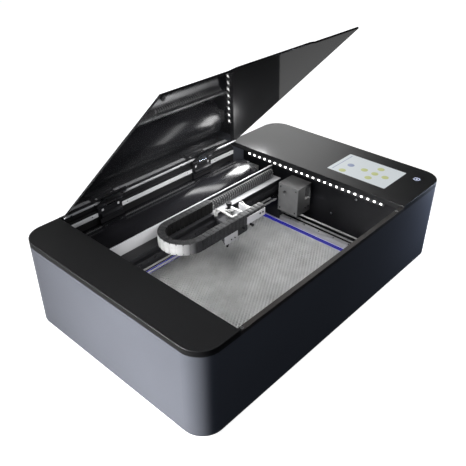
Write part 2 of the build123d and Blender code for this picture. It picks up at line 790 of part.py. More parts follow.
with BuildPart() as y_motor:
    half_motor = motor_size / 2
    block(motor_face, motor_face + motor_length, y_drive_y - half_motor, y_drive_y + half_motor,
          y_belt_z - half_motor, y_belt_z + half_motor)
    chamfer(y_motor.edges().filter_by(Axis.X), motor_chamfer)
    rod("X", drive_center, shaft_radius + shaft_gap, motor_face - over, motor_face + shaft_in_motor + over,
        mode=Mode.SUBTRACT)

idler_center = (y_idler_y, y_belt_z)
with BuildPart() as left_y_idler:
    pulley("X", idler_center, left_rail_x, bore=idler_pin_radius + shaft_gap)

with BuildPart() as right_y_idler:
    pulley("X", idler_center, right_rail_x, bore=idler_pin_radius + shaft_gap)

# ---------------------------------------------------------------- gantry
with BuildPart() as gantry_beam:
    block(beam_left, beam_right, beam_front, beam_rear, beam_bottom, beam_top)
    block(beam_left - over, beam_right + over, beam_front + beam_wall, beam_rear - beam_wall,
          beam_bottom + beam_wall, beam_top - beam_wall, mode=Mode.SUBTRACT)

with BuildPart() as gantry_angle:
    angle_rear = beam_rear + angle_thickness
    block(beam_left, beam_right, shelf_front, angle_rear, beam_top, beam_top + angle_thickness)
    block(beam_left, beam_right, beam_rear, angle_rear, beam_top, angle_top)

x_rail_bottom = x_rail_z - rail_width / 2
x_rail_top = x_rail_z + rail_width / 2
with BuildPart() as x_rail:
    block(beam_left + x_rail_end, beam_right - x_rail_end, beam_front - rail_height, beam_front,
          x_rail_bottom, x_rail_top)
    with Locations(Location((opening_middle, beam_front - rail_height, x_rail_z), (90, 0, 0))):
        with GridLocations(rail_screw_pitch, 0, rail_screw_count, 1):
            Cylinder(rail_counterbore[0], 2 * rail_counterbore[1], mode=Mode.SUBTRACT)


def truck_block(rail_x):
    """The truck on a Y rail: a block with the rail's groove and the belt's channel."""
    half = truck_width / 2
    rail_top = rail_base_top + rail_height
    block(rail_x - half, rail_x + half, truck_front, truck_rear, rail_top - truck_skirt, beam_bottom)
    groove = rail_width / 2 + slide_gap
    block(rail_x - groove, rail_x + groove, truck_front - over, truck_rear + over,
          rail_top - truck_skirt - over, rail_top + slide_gap, mode=Mode.SUBTRACT)
    belt_half = pulley_radius + pulley_play + belt_thickness + truck_belt_gap
    channel_half = belt_width / 2 + truck_belt_gap
    block(rail_x - channel_half, rail_x + channel_half, truck_front - over, truck_rear + over,
          y_belt_z - belt_half, y_belt_z + belt_half, mode=Mode.SUBTRACT)


x_motor_plate = x_belt_bottom + x_belt_width + motor_plate_gap
x_motor_bottom = x_motor_plate + motor_plate_thickness
with BuildPart() as left_gantry_truck:
    truck_block(left_rail_x)
    upright_right = beam_left - slide_gap
    block(left_rail_x - truck_width / 2, upright_right, beam_front, beam_rear, beam_bottom, x_motor_bottom)
    block(x_drive_x - motor_plate_reach, upright_right, x_belt_y - motor_plate_reach, beam_rear,
          x_motor_plate, x_motor_bottom)
    rod("Z", (x_drive_x, x_belt_y), pin_radius + motor_pin_gap, x_motor_plate - over, x_motor_bottom + over,
        mode=Mode.SUBTRACT)

with BuildPart() as right_gantry_truck:
    truck_block(right_rail_x)
    plate_reach, plate_thickness, plate_drop = x_idler_plate
    plate_top = x_belt_bottom - plate_drop
    block(x_idler_x - plate_reach, right_rail_x, truck_front, beam_front,
          plate_top - plate_thickness, plate_top)
    rod("Z", (x_idler_x, x_belt_y), idler_pin_radius, plate_top, x_belt_bottom + x_belt_width + x_pin_proud)

x_belt_middle = x_belt_bottom + x_belt_width / 2
x_belt = belt_loop(Plane(origin=(0, x_belt_y, x_belt_middle)), x_drive_x, x_idler_x, x_belt_width)


def x_pulley(center, bore):
    """A flanged pulley about a vertical pin, as wide as the X belt."""
    inner = x_belt_width / 2 + pulley_side_play
    outer = inner + x_flange_width
    rod("Z", center, pulley_radius, x_belt_middle - outer, x_belt_middle + outer)
    rod("Z", center, flange_radius, x_belt_middle - outer, x_belt_middle - inner)
    rod("Z", center, flange_radius, x_belt_middle + inner, x_belt_middle + outer)
    rod("Z", center, bore, x_belt_middle - outer - over, x_belt_middle + outer + over, mode=Mode.SUBTRACT)


with BuildPart() as x_drive_pulley:
    x_pulley((x_drive_x, x_belt_y), pin_radius + shaft_gap)

with BuildPart() as x_idler_pulley:
    x_pulley((x_idler_x, x_belt_y), idler_pin_radius + shaft_gap)

with BuildPart() as x_motor:
    half_motor = x_motor_size / 2
    block(x_drive_x - half_motor, x_drive_x + half_motor, x_belt_y - half_motor, x_belt_y + half_motor,
          x_motor_bottom, x_motor_bottom + x_motor_height)
    chamfer(x_motor.edges().filter_by(Axis.Z), x_motor_chamfer)
    rod("Z", (x_drive_x, x_belt_y), pin_radius, x_belt_bottom - over, x_motor_bottom)

with BuildPart() as second_mirror_housing:
    box_x, box_y = mirror_box_center
    with Locations((box_x, box_y, mirror_box_bottom + mirror_box[2] / 2)):
        Box(*mirror_box)
    chamfer(second_mirror_housing.edges().filter_by(Axis.Z), mirror_box_chamfer)
    face_y = box_y - mirror_box[1] / 2
    window_bottom, window_top = mirror_window_rise
    block(box_x + mirror_window[0], box_x + mirror_window[1], face_y - over, face_y + mirror_window[2],
          mirror_box_bottom + window_bottom, mirror_box_bottom + window_top, mode=Mode.SUBTRACT)
    for knob_x in mirror_knobs:
        rod("Y", (box_x + knob_x, mirror_box_bottom + mirror_knob_rise), mirror_knob_radius,
            face_y - over, face_y + mirror_knob_depth, mode=Mode.SUBTRACT)
    rod("X", (lens_y, tube_z), beam_bore, box_x - mirror_box[0] / 2 - over, box_x, mode=Mode.SUBTRACT)
    rod("Y", (box_x, tube_z), beam_bore, lens_y, box_y + mirror_box[1] / 2 + over, mode=Mode.SUBTRACT)

chain_leg_y = chain_bend_y + (chain_outer + chain_inner) / 2
with BuildPart() as cable_bundle:
    rod("X", (chain_leg_y, beam_top + angle_thickness + bundle_radius + bundle_lift), bundle_radius,
        chain_anchor_x + fit_gap, bundle_end)


def chain_leg(x0, x1, y0, y1):
    """A straight run of cable chain: a hollow run with a groove at each link's end."""
    with BuildPart() as leg:
        block(x0, x1, y0, y1, chain_bottom, chain_top)
        links = max(2, round((x1 - x0) / chain_link))
        with Locations(((x0 + x1) / 2, (y0 + y1) / 2, (chain_bottom + chain_top) / 2)):
            with GridLocations((x1 - x0) / links, y1 - y0, links - 1, 2):
                Box(link_groove, 2 * link_groove, chain_top - chain_bottom, mode=Mode.SUBTRACT)
    return leg


chain_rear_leg = chain_leg(chain_bend_x, chain_anchor_x,
                           chain_bend_y + chain_inner, chain_bend_y + chain_outer)
chain_front_leg = chain_leg(chain_bend_x, chain_end_x,
                            chain_bend_y - chain_outer, chain_bend_y - chain_inner)

with BuildPart() as chain_bend:
    with BuildSketch(Plane.XY.offset(chain_bottom)):
        with Locations((chain_bend_x, chain_bend_y)):
            Circle(chain_outer)
            Circle(chain_inner, mode=Mode.SUBTRACT)
        with Locations((chain_bend_x + chain_outer, chain_bend_y)):
            Rectangle(2 * chain_outer, 3 * chain_outer, mode=Mode.SUBTRACT)
    extrude(amount=chain_top - chain_bottom)

# ---------------------------------------------------------------- laser head
with BuildPart() as head_carriage:
    runner_x0 = head_center_x - runner_length / 2
    runner_x1 = head_center_x + runner_length / 2
    block(runner_x0, runner_x1, runner_front, beam_front - slide_gap, runner_bottom, runner_top)
    block(runner_x0 - over, runner_x1 + over, beam_front - rail_height - slide_gap, beam_front,
          x_rail_bottom - slide_gap, x_rail_top + slide_gap, mode=Mode.SUBTRACT)
    block(runner_x0 + runner_neck_inset, runner_x1 - runner_neck_inset, head_rear, runner_front,
          runner_bottom + runner_neck_rise, runner_top)

head_x0 = head_center_x - head_width / 2
head_x1 = head_center_x + head_width / 2
with BuildPart() as head_body:
    block(head_x0, head_x1, head_front, head_rear, head_bottom, head_top)
    chamfer(head_body.edges().filter_by(Axis.Y), head_chamfer)
    rod("Z", (lens_x, lens_y), lens_radius + shaft_gap, head_bottom - over, tube_z + lens_bore_rise,
        mode=Mode.SUBTRACT)
    rod("X", (lens_y, tube_z), head_beam_bore, lens_x, head_x1 + over, mode=Mode.SUBTRACT)

with BuildPart() as head_front_plate:
    block(front_plate_left, front_plate_left + front_plate_width,
          head_front - front_plate_thickness, head_front, front_plate_bottom, head_top)
    for hole_x in plate_holes:
        rod("Y", (front_plate_left + hole_x, front_plate_bottom + plate_hole_rise), plate_hole_radius,
            head_front - front_plate_thickness - over, head_front + over, mode=Mode.SUBTRACT)

with BuildPart() as lens_tube:
    rod("Z", (lens_x, lens_y), lens_radius, lens_bottom, tube_z - lens_top_drop)
    with Locations((lens_x, lens_y, (nozzle_bottom + lens_bottom) / 2)):
        Cone(nozzle_radius, lens_radius - lens_step, lens_bottom - nozzle_bottom)
    rod("Z", (lens_x, lens_y), lens_bore, nozzle_bottom - over, tube_z, mode=Mode.SUBTRACT)

with BuildPart() as chain_bracket:
    bracket_x0 = chain_end_x + slide_gap
    bracket_x1 = bracket_x0 + bracket_width
    flange_rear = bracket_face_y + bracket_flange
    block(bracket_x0, bracket_x1, bracket_face_y, bracket_face_y + bracket_sheet, chain_bottom, bracket_top)
    block(bracket_x0, bracket_x1, bracket_face_y, flange_rear, bracket_top - bracket_sheet, bracket_top)
    for web_x in (bracket_x0 + bracket_web_insets[0], head_x1 - bracket_web_insets[1]):
        block(web_x - bracket_web / 2, web_x + bracket_web / 2, flange_rear - bracket_web_lap,
              head_front + bracket_web_reach, head_top, bracket_top)
    for inset in bracket_holes:
        rod("Y", (bracket_x1 - inset, bracket_top - bracket_hole_drop), bracket_hole_radius,
            bracket_face_y - over, bracket_face_y + bracket_sheet + over, mode=Mode.SUBTRACT)

# ---------------------------------------------------------------- lid
# The lid's own frame stands on the hinge axis and is turned open about it.
open_turn = math.radians(lid_open_angle)
lid_frame = Plane(origin=(0, hinge_y, hinge_z), x_dir=(1, 0, 0),
                  z_dir=(0, math.sin(open_turn), math.cos(open_turn)))
lid_left = opening_left + lid_side_gap
lid_right = opening_right - lid_side_gap
lid_middle = (lid_left + lid_right) / 2
lid_under = hinge_drop - lid_thickness
lid_rear = -lid_setback
lid_front = lid_rear - lid_length

with BuildPart() as lid_panel:
    with BuildSketch(lid_frame.offset(lid_under)):
        with BuildLine():
            Polyline((lid_left, lid_rear), (lid_right, lid_rear), (lid_right, lid_front),
                     (lid_middle + tab_base / 2, lid_front), (lid_middle + tab_top / 2, lid_front - tab_rise),
                     (lid_middle - tab_top / 2, lid_front - tab_rise), (lid_middle - tab_base / 2, lid_front),
                     (lid_left, lid_front), close=True)
        make_face()
    extrude(amount=lid_thickness)

with BuildPart() as lid_rear_strip:
    with BuildSketch(lid_frame.offset(lid_under - strip_thickness)):
        with Locations((lid_middle, lid_rear - strip_depth / 2)):
            Rectangle(lid_right - lid_left - 2 * strip_end_gap, strip_depth)
    extrude(amount=strip_thickness)

leaf_top = lid_under - strip_thickness
with BuildPart() as hinge_lid_leaves:
    for center in hinge_centers:
        with BuildSketch(lid_frame.offset(leaf_top - leaf_thickness)):
            with Locations((center, (lid_rear - leaf_reach) / 2)):
                Rectangle(hinge_width, leaf_reach + lid_rear)
            with Locations((center, lid_rear / 2 - over)):
                Rectangle(knuckle_width, abs(lid_rear) + 2 * over)
        extrude(amount=leaf_thickness)
        with BuildSketch(Plane.YZ.offset(center - knuckle_width / 2)):
            with Locations((hinge_y, hinge_z)):
                Circle(barrel_radius)
        extrude(amount=knuckle_width)
    for center in hinge_centers:
        rod("X", (hinge_y, hinge_z), pin_radius + shaft_gap,
            center - hinge_width / 2, center + hinge_width / 2, mode=Mode.SUBTRACT)

leaf_front = rear_bar_front - leaf_body_thickness
leaf_bottom = cover_end_z + leaf_above_cover
with BuildPart() as hinge_body_leaves:
    for center in hinge_centers:
        x0, x1 = center - hinge_width / 2, center + hinge_width / 2
        block(x0, x1, leaf_front, rear_bar_front, leaf_bottom, hinge_z - barrel_radius - knuckle_gap)
        rod("X", (leaf_front, rail_strip_bottom), leaf_roll_radius,
            x0 + leaf_roll_inset, x1 - leaf_roll_inset)
        block(x0, x1, leaf_front - leaf_foot_thickness, leaf_front,
              leaf_bottom, rail_strip_bottom - leaf_foot_thickness)
        half_knuckle = knuckle_width / 2 + knuckle_gap
        for start, end in ((x0, center - half_knuckle), (center + half_knuckle, x1)):
            rod("X", (hinge_y, hinge_z), barrel_radius, start, end)
            block(start, end, leaf_front, rear_bar_front, hinge_z - barrel_radius - over, hinge_z)
        rod("X", (hinge_y, hinge_z), pin_radius, x0, x1)
    block(opening_left, opening_right, rear_bar_front, inner_rear, rear_bar_bottom, rear_bar_shelf,
          mode=Mode.SUBTRACT)

# ---------------------------------------------------------------- write every piece
pieces = {
    "casing_wrap": casing_wrap, "base_pan": base_pan, "feet": feet,
    "left_top_cover": left_top_cover, "right_top_cover": right_top_cover,
    "front_rim": front_rim, "rear_top_bar": rear_top_bar, "hinge_rail": hinge_rail,
    "left_chamber_wall": left_chamber_wall, "right_chamber_wall": right_chamber_wall,
    "led_strips": led_strips, "led_chips": led_chips,
    "tube_cover": tube_cover, "laser_tube": laser_tube, "tube_clamps": tube_clamps,
    "first_mirror_mount": first_mirror_mount, "coolant_connections": coolant_connections,
    "exhaust_collar": exhaust_collar, "exhaust_fan_frame": exhaust_fan_frame,
    "exhaust_fan_rotor": exhaust_fan_rotor, "power_inlet": power_inlet, "power_rocker": power_rocker,
    "touch_screen": touch_screen, "start_button": start_button, "start_switch": start_switch,
    "control_board": control_board, "high_voltage_supply": high_voltage_supply,
    "honeycomb_frame": honeycomb_frame, "honeycomb_core": honeycomb_core,
    "left_y_rail": left_y_rail, "right_y_rail": right_y_rail,
    "left_y_belt": left_y_belt, "right_y_belt": right_y_belt,
    "y_drive_shaft": y_drive_shaft, "y_motor": y_motor,
    "left_y_idler": left_y_idler, "right_y_idler": right_y_idler,
    "gantry_beam": gantry_beam, "gantry_angle": gantry_angle, "x_rail": x_rail,
    "left_gantry_truck": left_gantry_truck, "right_gantry_truck": right_gantry_truck,
    "x_belt": x_belt, "x_motor": x_motor, "x_drive_pulley": x_drive_pulley, "x_idler_pulley": x_idler_pulley,
    "second_mirror_housing": second_mirror_housing, "cable_bundle": cable_bundle,
    "chain_rear_leg": chain_rear_leg, "chain_bend": chain_bend, "chain_front_leg": chain_front_leg,
    "head_carriage": head_carriage, "head_body": head_body, "head_front_plate": head_front_plate,
    "lens_tube": lens_tube, "chain_bracket": chain_bracket,
    "lid_panel": lid_panel, "lid_rear_strip": lid_rear_strip,
    "hinge_lid_leaves": hinge_lid_leaves, "hinge_body_leaves": hinge_body_leaves,
}
os.makedirs("parts", exist_ok=True)
for name, piece in pieces.items():
    piece.part.label = name
    export_step(piece.part, f"parts/{name}.step")
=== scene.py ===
"""Blender scene of a desktop laser cutter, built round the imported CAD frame."""
import json
import math

import bmesh
import bpy
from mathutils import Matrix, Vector

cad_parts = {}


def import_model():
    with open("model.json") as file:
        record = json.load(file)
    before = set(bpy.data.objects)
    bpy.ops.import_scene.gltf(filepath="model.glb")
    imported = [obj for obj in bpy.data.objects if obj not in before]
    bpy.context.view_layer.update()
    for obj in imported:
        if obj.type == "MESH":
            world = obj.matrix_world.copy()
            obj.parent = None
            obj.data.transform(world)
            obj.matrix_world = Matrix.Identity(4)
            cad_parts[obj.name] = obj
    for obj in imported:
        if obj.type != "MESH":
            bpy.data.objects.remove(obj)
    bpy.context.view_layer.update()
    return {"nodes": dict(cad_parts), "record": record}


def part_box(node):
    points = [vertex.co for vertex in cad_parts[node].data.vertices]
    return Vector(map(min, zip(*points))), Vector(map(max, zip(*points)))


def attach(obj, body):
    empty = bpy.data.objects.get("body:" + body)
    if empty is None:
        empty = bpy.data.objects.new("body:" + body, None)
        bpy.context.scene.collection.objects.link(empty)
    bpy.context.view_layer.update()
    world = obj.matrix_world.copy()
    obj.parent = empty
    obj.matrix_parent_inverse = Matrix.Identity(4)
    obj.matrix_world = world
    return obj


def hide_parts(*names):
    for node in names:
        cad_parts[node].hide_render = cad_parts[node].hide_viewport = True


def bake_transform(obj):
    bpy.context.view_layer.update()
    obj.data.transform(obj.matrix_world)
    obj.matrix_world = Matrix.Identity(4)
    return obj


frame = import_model()
nodes = frame["nodes"]
scene = bpy.context.scene
mm = 0.001

# hinge axis and the lid's opening in the photograph, as in the CAD
hinge_y, hinge_z = 248.7, 202.5
lid_tilt = math.radians(45.9)

# stretches that draw a grain out into brushing along one axis
along_x = (0.03, 1.0, 1.0)
along_y = (1.0, 0.03, 1.0)


# ---------------------------------------------------------------- materials
def blank_material(name):
    """A new material with its Principled shader, as (material, tree, shader)."""
    material = bpy.data.materials.new(name)
    material.use_nodes = True
    tree = material.node_tree
    return material, tree, tree.nodes["Principled BSDF"]


def noise(tree, scale, stretch=(1.0, 1.0, 1.0), detail=4.0):
    """A noise texture in object coordinates, stretched along some axes."""
    coordinates = tree.nodes.new("ShaderNodeTexCoord")
    mapping = tree.nodes.new("ShaderNodeMapping")
    mapping.inputs["Scale"].default_value = stretch
    texture = tree.nodes.new("ShaderNodeTexNoise")
    texture.inputs["Scale"].default_value = scale
    texture.inputs["Detail"].default_value = detail
    tree.links.new(coordinates.outputs["Object"], mapping.inputs["Vector"])
    tree.links.new(mapping.outputs["Vector"], texture.inputs["Vector"])
    return texture.outputs["Fac"]


def ramped(tree, value, source, target):
    """Maps a value's range onto another."""
    ramp = tree.nodes.new("ShaderNodeMapRange")
    ramp.inputs["From Min"].default_value, ramp.inputs["From Max"].default_value = source
    ramp.inputs["To Min"].default_value, ramp.inputs["To Max"].default_value = target
    tree.links.new(value, ramp.inputs["Value"])
    return ramp.outputs["Result"]


def spread(tree, factor, low, high):
    """Maps the middle of a noise's range to low..high."""
    return ramped(tree, factor, (0.3, 0.7), (low, high))


def tint(tree, factor, first, second):
    """Mixes two colours by a factor; either can be another node's output."""
    mix = tree.nodes.new("ShaderNodeMix")
    mix.data_type = "RGBA"
    for name, colour in (("A", first), ("B", second)):
        if isinstance(colour, bpy.types.NodeSocket):
            tree.links.new(colour, mix.inputs[name])
        else:
            mix.inputs[name].default_value = (*colour, 1.0)
    tree.links.new(factor, mix.inputs["Factor"])
    return mix.outputs["Result"]


def axis_value(tree, axis, source="Object"):
    """One coordinate of the point being shaded."""
    coordinates = tree.nodes.new("ShaderNodeTexCoord")
    split = tree.nodes.new("ShaderNodeSeparateXYZ")
    tree.links.new(coordinates.outputs[source], split.inputs["Vector"])
    return split.outputs[axis]


def maths(tree, operation, first, second):
    """One operation on two values."""
    node = tree.nodes.new("ShaderNodeMath")
    node.operation = operation
    tree.links.new(first, node.inputs[0])
    tree.links.new(second, node.inputs[1])
    return node.outputs["Value"]


def surface(name, colour, roughness, metallic=0.0, specular=0.5, mottle=0.12, patch=14.0, grain=900.0,
            stretch=(1.0, 1.0, 1.0), rough_spread=0.06, bump=0.2, depth=0.00004):
    """A finish with patchy colour, uneven roughness and a fine grain, all procedural."""
    material, tree, shader = blank_material(name)
    patches = noise(tree, patch)
    grains = noise(tree, grain, stretch=stretch, detail=2.0)
    darker = [c * (1 - mottle) for c in colour]
    lighter = [c * (1 + mottle) for c in colour]
    tree.links.new(tint(tree, spread(tree, patches, 0.0, 1.0), darker, lighter), shader.inputs["Base Color"])
    shader.inputs["Metallic"].default_value = metallic
    shader.inputs["Specular IOR Level"].default_value = specular
    uneven = spread(tree, grains, max(roughness - rough_spread, 0.02), roughness + rough_spread)
    tree.links.new(uneven, shader.inputs["Roughness"])
    relief = tree.nodes.new("ShaderNodeBump")
    relief.inputs["Strength"].default_value = bump
    relief.inputs["Distance"].default_value = depth
    tree.links.new(grains, relief.inputs["Height"])
    tree.links.new(relief.outputs["Normal"], shader.inputs["Normal"])
    return material


def speckled(name, colour, speck, roughness):
    """Moulded plastic with small lighter specks and a coarse grain."""
    material = surface(name, colour, roughness, grain=420.0, bump=0.5, depth=0.0002)
    tree = material.node_tree
    shader = tree.nodes["Principled BSDF"]
    base = shader.inputs["Base Color"].links[0].from_socket
    dots = ramped(tree, noise(tree, 1300.0, detail=1.0), (0.6, 0.72), (0.0, 1.0))
    tree.links.new(tint(tree, dots, base, speck), shader.inputs["Base Color"])
    return material


def glowing(name, colour, strength, flicker=0.06):
    """An emitting surface whose brightness varies a little from place to place; used for lamps and the
    screen, and as painted light on parts that are no lamps.
    """
    material, tree, shader = blank_material(name)
    cells = noise(tree, 260.0, detail=1.0)
    dim = [c * (1 - flicker) for c in colour]
    shader.inputs["Base Color"].default_value = (0.02, 0.02, 0.02, 1.0)
    shader.inputs["Roughness"].default_value = 0.35
    shader.inputs["Specular IOR Level"].default_value = 0.1
    shader.inputs["Emission Strength"].default_value = strength
    tree.links.new(tint(tree, spread(tree, cells, 0.0, 1.0), dim, colour), shader.inputs["Emission Color"])
    return material


def glass(name, colour, roughness, alpha=0.35):
    """Thin glass that shows what is behind it, with faint streaks in its gloss."""
    material = surface(name, colour, roughness, mottle=0.04, bump=0.02, rough_spread=0.02)
    material.node_tree.nodes["Principled BSDF"].inputs["Alpha"].default_value = alpha
    return material


def slot_materials():
    """One finished material for each of the record's material slots."""
    return {
        "casing_paint": surface("casing_paint", (0.09, 0.0945, 0.11), 0.42, specular=0.22, mottle=0.05,
                                patch=5.0, grain=2200.0, bump=0.3, depth=0.00003),
        "dark_steel": surface("dark_steel", (0.007, 0.007, 0.008), 0.45, specular=0.25, mottle=0.3),
        "foot_rubber": surface("foot_rubber", (0.02, 0.02, 0.02), 0.8, grain=500.0, bump=0.5),
        "black_cover": surface("black_cover", (0.0085, 0.0085, 0.009), 0.42, specular=0.36, mottle=0.1,
                               patch=8.0, grain=2600.0, rough_spread=0.05, bump=0.35, depth=0.00003),
        "black_gloss": surface("black_gloss", (0.006, 0.006, 0.007), 0.22, mottle=0.2, patch=6.0,
                               grain=30.0, rough_spread=0.008, bump=0.003),
        "smoked_glass": surface("smoked_glass", (0.02, 0.02, 0.021), 0.05, mottle=0.2, patch=5.0,
                                grain=60.0, rough_spread=0.02, bump=0.02),
        "clear_glass": glass("clear_glass", (0.7, 0.78, 0.82), 0.05),
        "screen_glass": surface("screen_glass", (0.004, 0.005, 0.012), 0.12, mottle=0.2, bump=0.02),
        "led_board": surface("led_board", (0.03, 0.03, 0.032), 0.5, grain=700.0),
        "led_light": glowing("led_light", (1.0, 0.99, 0.97), 6.0),
        "silver": surface("silver", (0.66, 0.66, 0.67), 0.36, metallic=0.5, mottle=0.1, grain=700.0,
                          stretch=along_x, bump=0.3),
        "black_anodised": surface("black_anodised", (0.018, 0.018, 0.02), 0.36, metallic=0.5,
                                  mottle=0.25, grain=1500.0, bump=0.3),
        "honeycomb": surface("honeycomb", (0.56, 0.56, 0.56), 0.45, metallic=0.4, mottle=0.12,
                             patch=30.0, grain=900.0, bump=0.2),
        "steel": surface("steel", (0.56, 0.56, 0.58), 0.24, metallic=1.0, grain=800.0, stretch=along_y),
        "belt_rubber": surface("belt_rubber", (0.16, 0.16, 0.16), 0.5, mottle=0.3, grain=600.0,
                               bump=0.5),
        "black_plastic": surface("black_plastic", (0.014, 0.014, 0.015), 0.45, mottle=0.2, grain=1100.0,
                                 bump=0.4),
        "chain_plastic": speckled("chain_plastic", (0.009, 0.009, 0.0095), (0.11, 0.11, 0.11), 0.5),
        "supply_case": surface("supply_case", (0.6, 0.6, 0.62), 0.4, metallic=0.9, stretch=along_x),
        "circuit_board": surface("circuit_board", (0.012, 0.07, 0.03), 0.35, mottle=0.35, patch=120.0,
                                 grain=500.0),
        "hose_white": surface("hose_white", (0.62, 0.62, 0.6), 0.4, mottle=0.06, grain=600.0),
    }


def fade(material, axis, start, end, colour):
    """Blends a material's colour into another along an object axis, from start to end in metres."""
    tree = material.node_tree
    socket = tree.nodes["Principled BSDF"].inputs["Base Color"]
    factor = ramped(tree, axis_value(tree, axis), (start, end), (0.0, 1.0))
    tree.links.new(tint(tree, factor, socket.links[0].from_socket, colour), socket)
    return material


def shelf_sheet():
    """The gantry's sheet, bright grey with painted shade: black on its back and on the upright right of its
    left end (its top edge kept grey), and a painted shadow of the chain on the shelf's left part.
    """
    # black is the painted shade colour; grey is the sheet's own
    black, grey = (0.012, 0.012, 0.013), (0.42, 0.42, 0.43)
    material = surface("shelf_sheet", grey, 0.4, metallic=0.3, mottle=0.08, grain=700.0,
                       stretch=along_x, bump=0.3)
    tree = material.node_tree
    socket = tree.nodes["Principled BSDF"].inputs["Base Color"]
    bright = socket.links[0].from_socket
    # painted shade: the upright goes black right of x = -0.14 m, except its top edge
    fade(material, "X", -0.17, -0.14, black)
    fade(material, "Z", 0.1868, 0.1872, grey)
    plate = socket.links[0].from_socket
    tree.links.new(bright, socket)
    # painted shadow of the chain: the shelf goes black left of x = -0.03 m
    fade(material, "X", 0.0, -0.03, black)
    shelf = socket.links[0].from_socket
    upright = ramped(tree, axis_value(tree, "Y"), (0.1124, 0.1128), (0.0, 1.0))
    tree.links.new(tint(tree, upright, shelf, plate), socket)
    # painted shade: the sheet's back, beyond y = 0.1147 m, is black
    return fade(material, "Y", 0.1144, 0.1147, black)


def extra_materials():
    """Finishes for the pieces that their slot's own finish doesn't suit; several carry painted light or shade
    in their colour.
    """
    block = {"metallic": 0.2, "mottle": 0.14, "patch": 40.0, "grain": 1300.0, "bump": 0.4}
    return {
        "rim_top": surface("rim_top", (0.026, 0.023, 0.022), 0.5, mottle=0.2, grain=1800.0),
        # painted light: the bed strip's blue is its own colour, and its glow stands in for light falling on
        # it
        "edge_blue_glow": glowing("edge_blue_glow", (0.003, 0.003, 0.24), 1.0, flicker=0.1),
        "edge_violet": surface("edge_violet", (0.5, 0.48, 0.7), 0.55, mottle=0.08, grain=900.0),
        "chrome": surface("chrome", (0.82, 0.82, 0.84), 0.14, metallic=1.0, mottle=0.05, grain=500.0,
                          stretch=(0.05, 1.0, 1.0), bump=0.1),
        "block_metal": surface("block_metal", (0.26, 0.26, 0.26), 0.46, **block),
        # painted shade: the housing's front (-Y) face is darkened to near black
        "mirror_block": fade(surface("mirror_block", (0.11, 0.11, 0.11), 0.46, **block),
                             "Y", 0.0135, 0.0122, (0.03, 0.03, 0.03)),
        "screw_steel": surface("screw_steel", (0.5, 0.5, 0.52), 0.3, metallic=1.0, grain=1500.0),
        "dark_screw": surface("dark_screw", (0.03, 0.03, 0.032), 0.32, metallic=0.7, grain=1500.0),
        "screen_picture": glowing("screen_picture", (0.60, 0.64, 0.66), 0.98, flicker=0.03),
        "disc_green": glowing("disc_green", (0.47, 0.50, 0.24), 1.0, flicker=0.03),
        "disc_blue": glowing("disc_blue", (0.27, 0.31, 0.44), 1.0, flicker=0.03),
        "fitting_white": surface("fitting_white", (0.2, 0.2, 0.195), 0.4, mottle=0.06, grain=600.0),
        "ring_light": glowing("ring_light", (0.62, 0.68, 0.9), 1.5),
        # painted highlight: small dots made to glow on the hinge rail and the angle plate's edge
        "dot_glow_highlight": glowing("dot_glow_highlight", (0.9, 0.93, 1.0), 0.6),
        "shelf_sheet": shelf_sheet(),
        "wire_grey": surface("wire_grey", (0.12, 0.12, 0.12), 0.5, mottle=0.3, patch=90.0, grain=900.0),
        "bright_sheet": surface("bright_sheet", (0.5, 0.5, 0.51), 0.4, metallic=0.25, mottle=0.08,
                                grain=700.0, stretch=along_x, bump=0.3),
        # painted shade: near black for the chain's inner side walls, inside the loop
        "inner_wall_shade": surface("inner_wall_shade", (0.004, 0.004, 0.004), 0.6, specular=0.15, mottle=0.3),
        # painted highlight: the bend's outer bars are pale grey at their left end, where light falls, fading
        # to near black towards +X
        "chain_bar": fade(surface("chain_bar", (0.2, 0.2, 0.2), 0.5, mottle=0.15, patch=60.0, grain=900.0),
                          "X", -0.198, -0.165, (0.02, 0.02, 0.021)),
        "rail_grey": surface("rail_grey", (0.26, 0.26, 0.265), 0.38, metallic=0.4, mottle=0.12,
                             grain=700.0, stretch=along_y, bump=0.3),
    }


material_of = {**slot_materials(), **extra_materials()}


def paint_nodes():
    """Gives every CAD node its slot's material, or the better one named here."""
    own = {
        "front_rim": "rim_top",
        # mirror_block carries painted shade on the housing's front face
        "second_mirror_housing": "mirror_block",
        "first_mirror_mount": "block_metal",
        "hinge_rail": "bright_sheet",
        "lid_rear_strip": "bright_sheet",
        # shelf_sheet carries painted shade and a painted chain shadow in its colour
        "gantry_angle": "shelf_sheet",
        "chain_bracket": "bright_sheet",
        "left_y_rail": "rail_grey",
        "right_y_rail": "rail_grey",
        "head_front_plate": "bright_sheet",
        "x_rail": "black_anodised",
    }
    for row in frame["record"]["subparts"]:
        node = nodes[row["node"]]
        material = material_of[own.get(row["node"], row["material_slot"])]
        if node.material_slots:
            for holder in node.material_slots:
                holder.material = material
        else:
            node.data.materials.append(material)


def round_edges():
    """Small bevels on the sheet-metal and machined nodes, whose edges catch the light."""
    widths = {
        0.2: ("lid_rear_strip",),
        0.3: ("gantry_angle", "chain_bracket", "hinge_rail"),
        0.4: ("x_rail", "head_front_plate", "honeycomb_frame", "left_y_rail", "right_y_rail"),
        0.5: ("hinge_lid_leaves", "hinge_body_leaves", "lid_panel"),
        0.6: ("gantry_beam", "head_carriage", "first_mirror_mount", "power_inlet"),
        0.8: ("left_gantry_truck", "right_gantry_truck", "x_motor", "y_motor", "second_mirror_housing",
              "high_voltage_supply", "exhaust_fan_frame"),
        1.0: ("head_body", "feet"),
    }
    for name, width in ((name, width) for width, names in widths.items() for name in names):
        node = nodes[name]
        weld = node.modifiers.new("weld", "WELD")
        weld.merge_threshold = 0.00001
        bevel = node.modifiers.new("bevel", "BEVEL")
        bevel.width = width * mm
        bevel.segments = 2
        bevel.limit_method = "ANGLE"
        bevel.angle_limit = math.radians(50)
        bevel.harden_normals = True


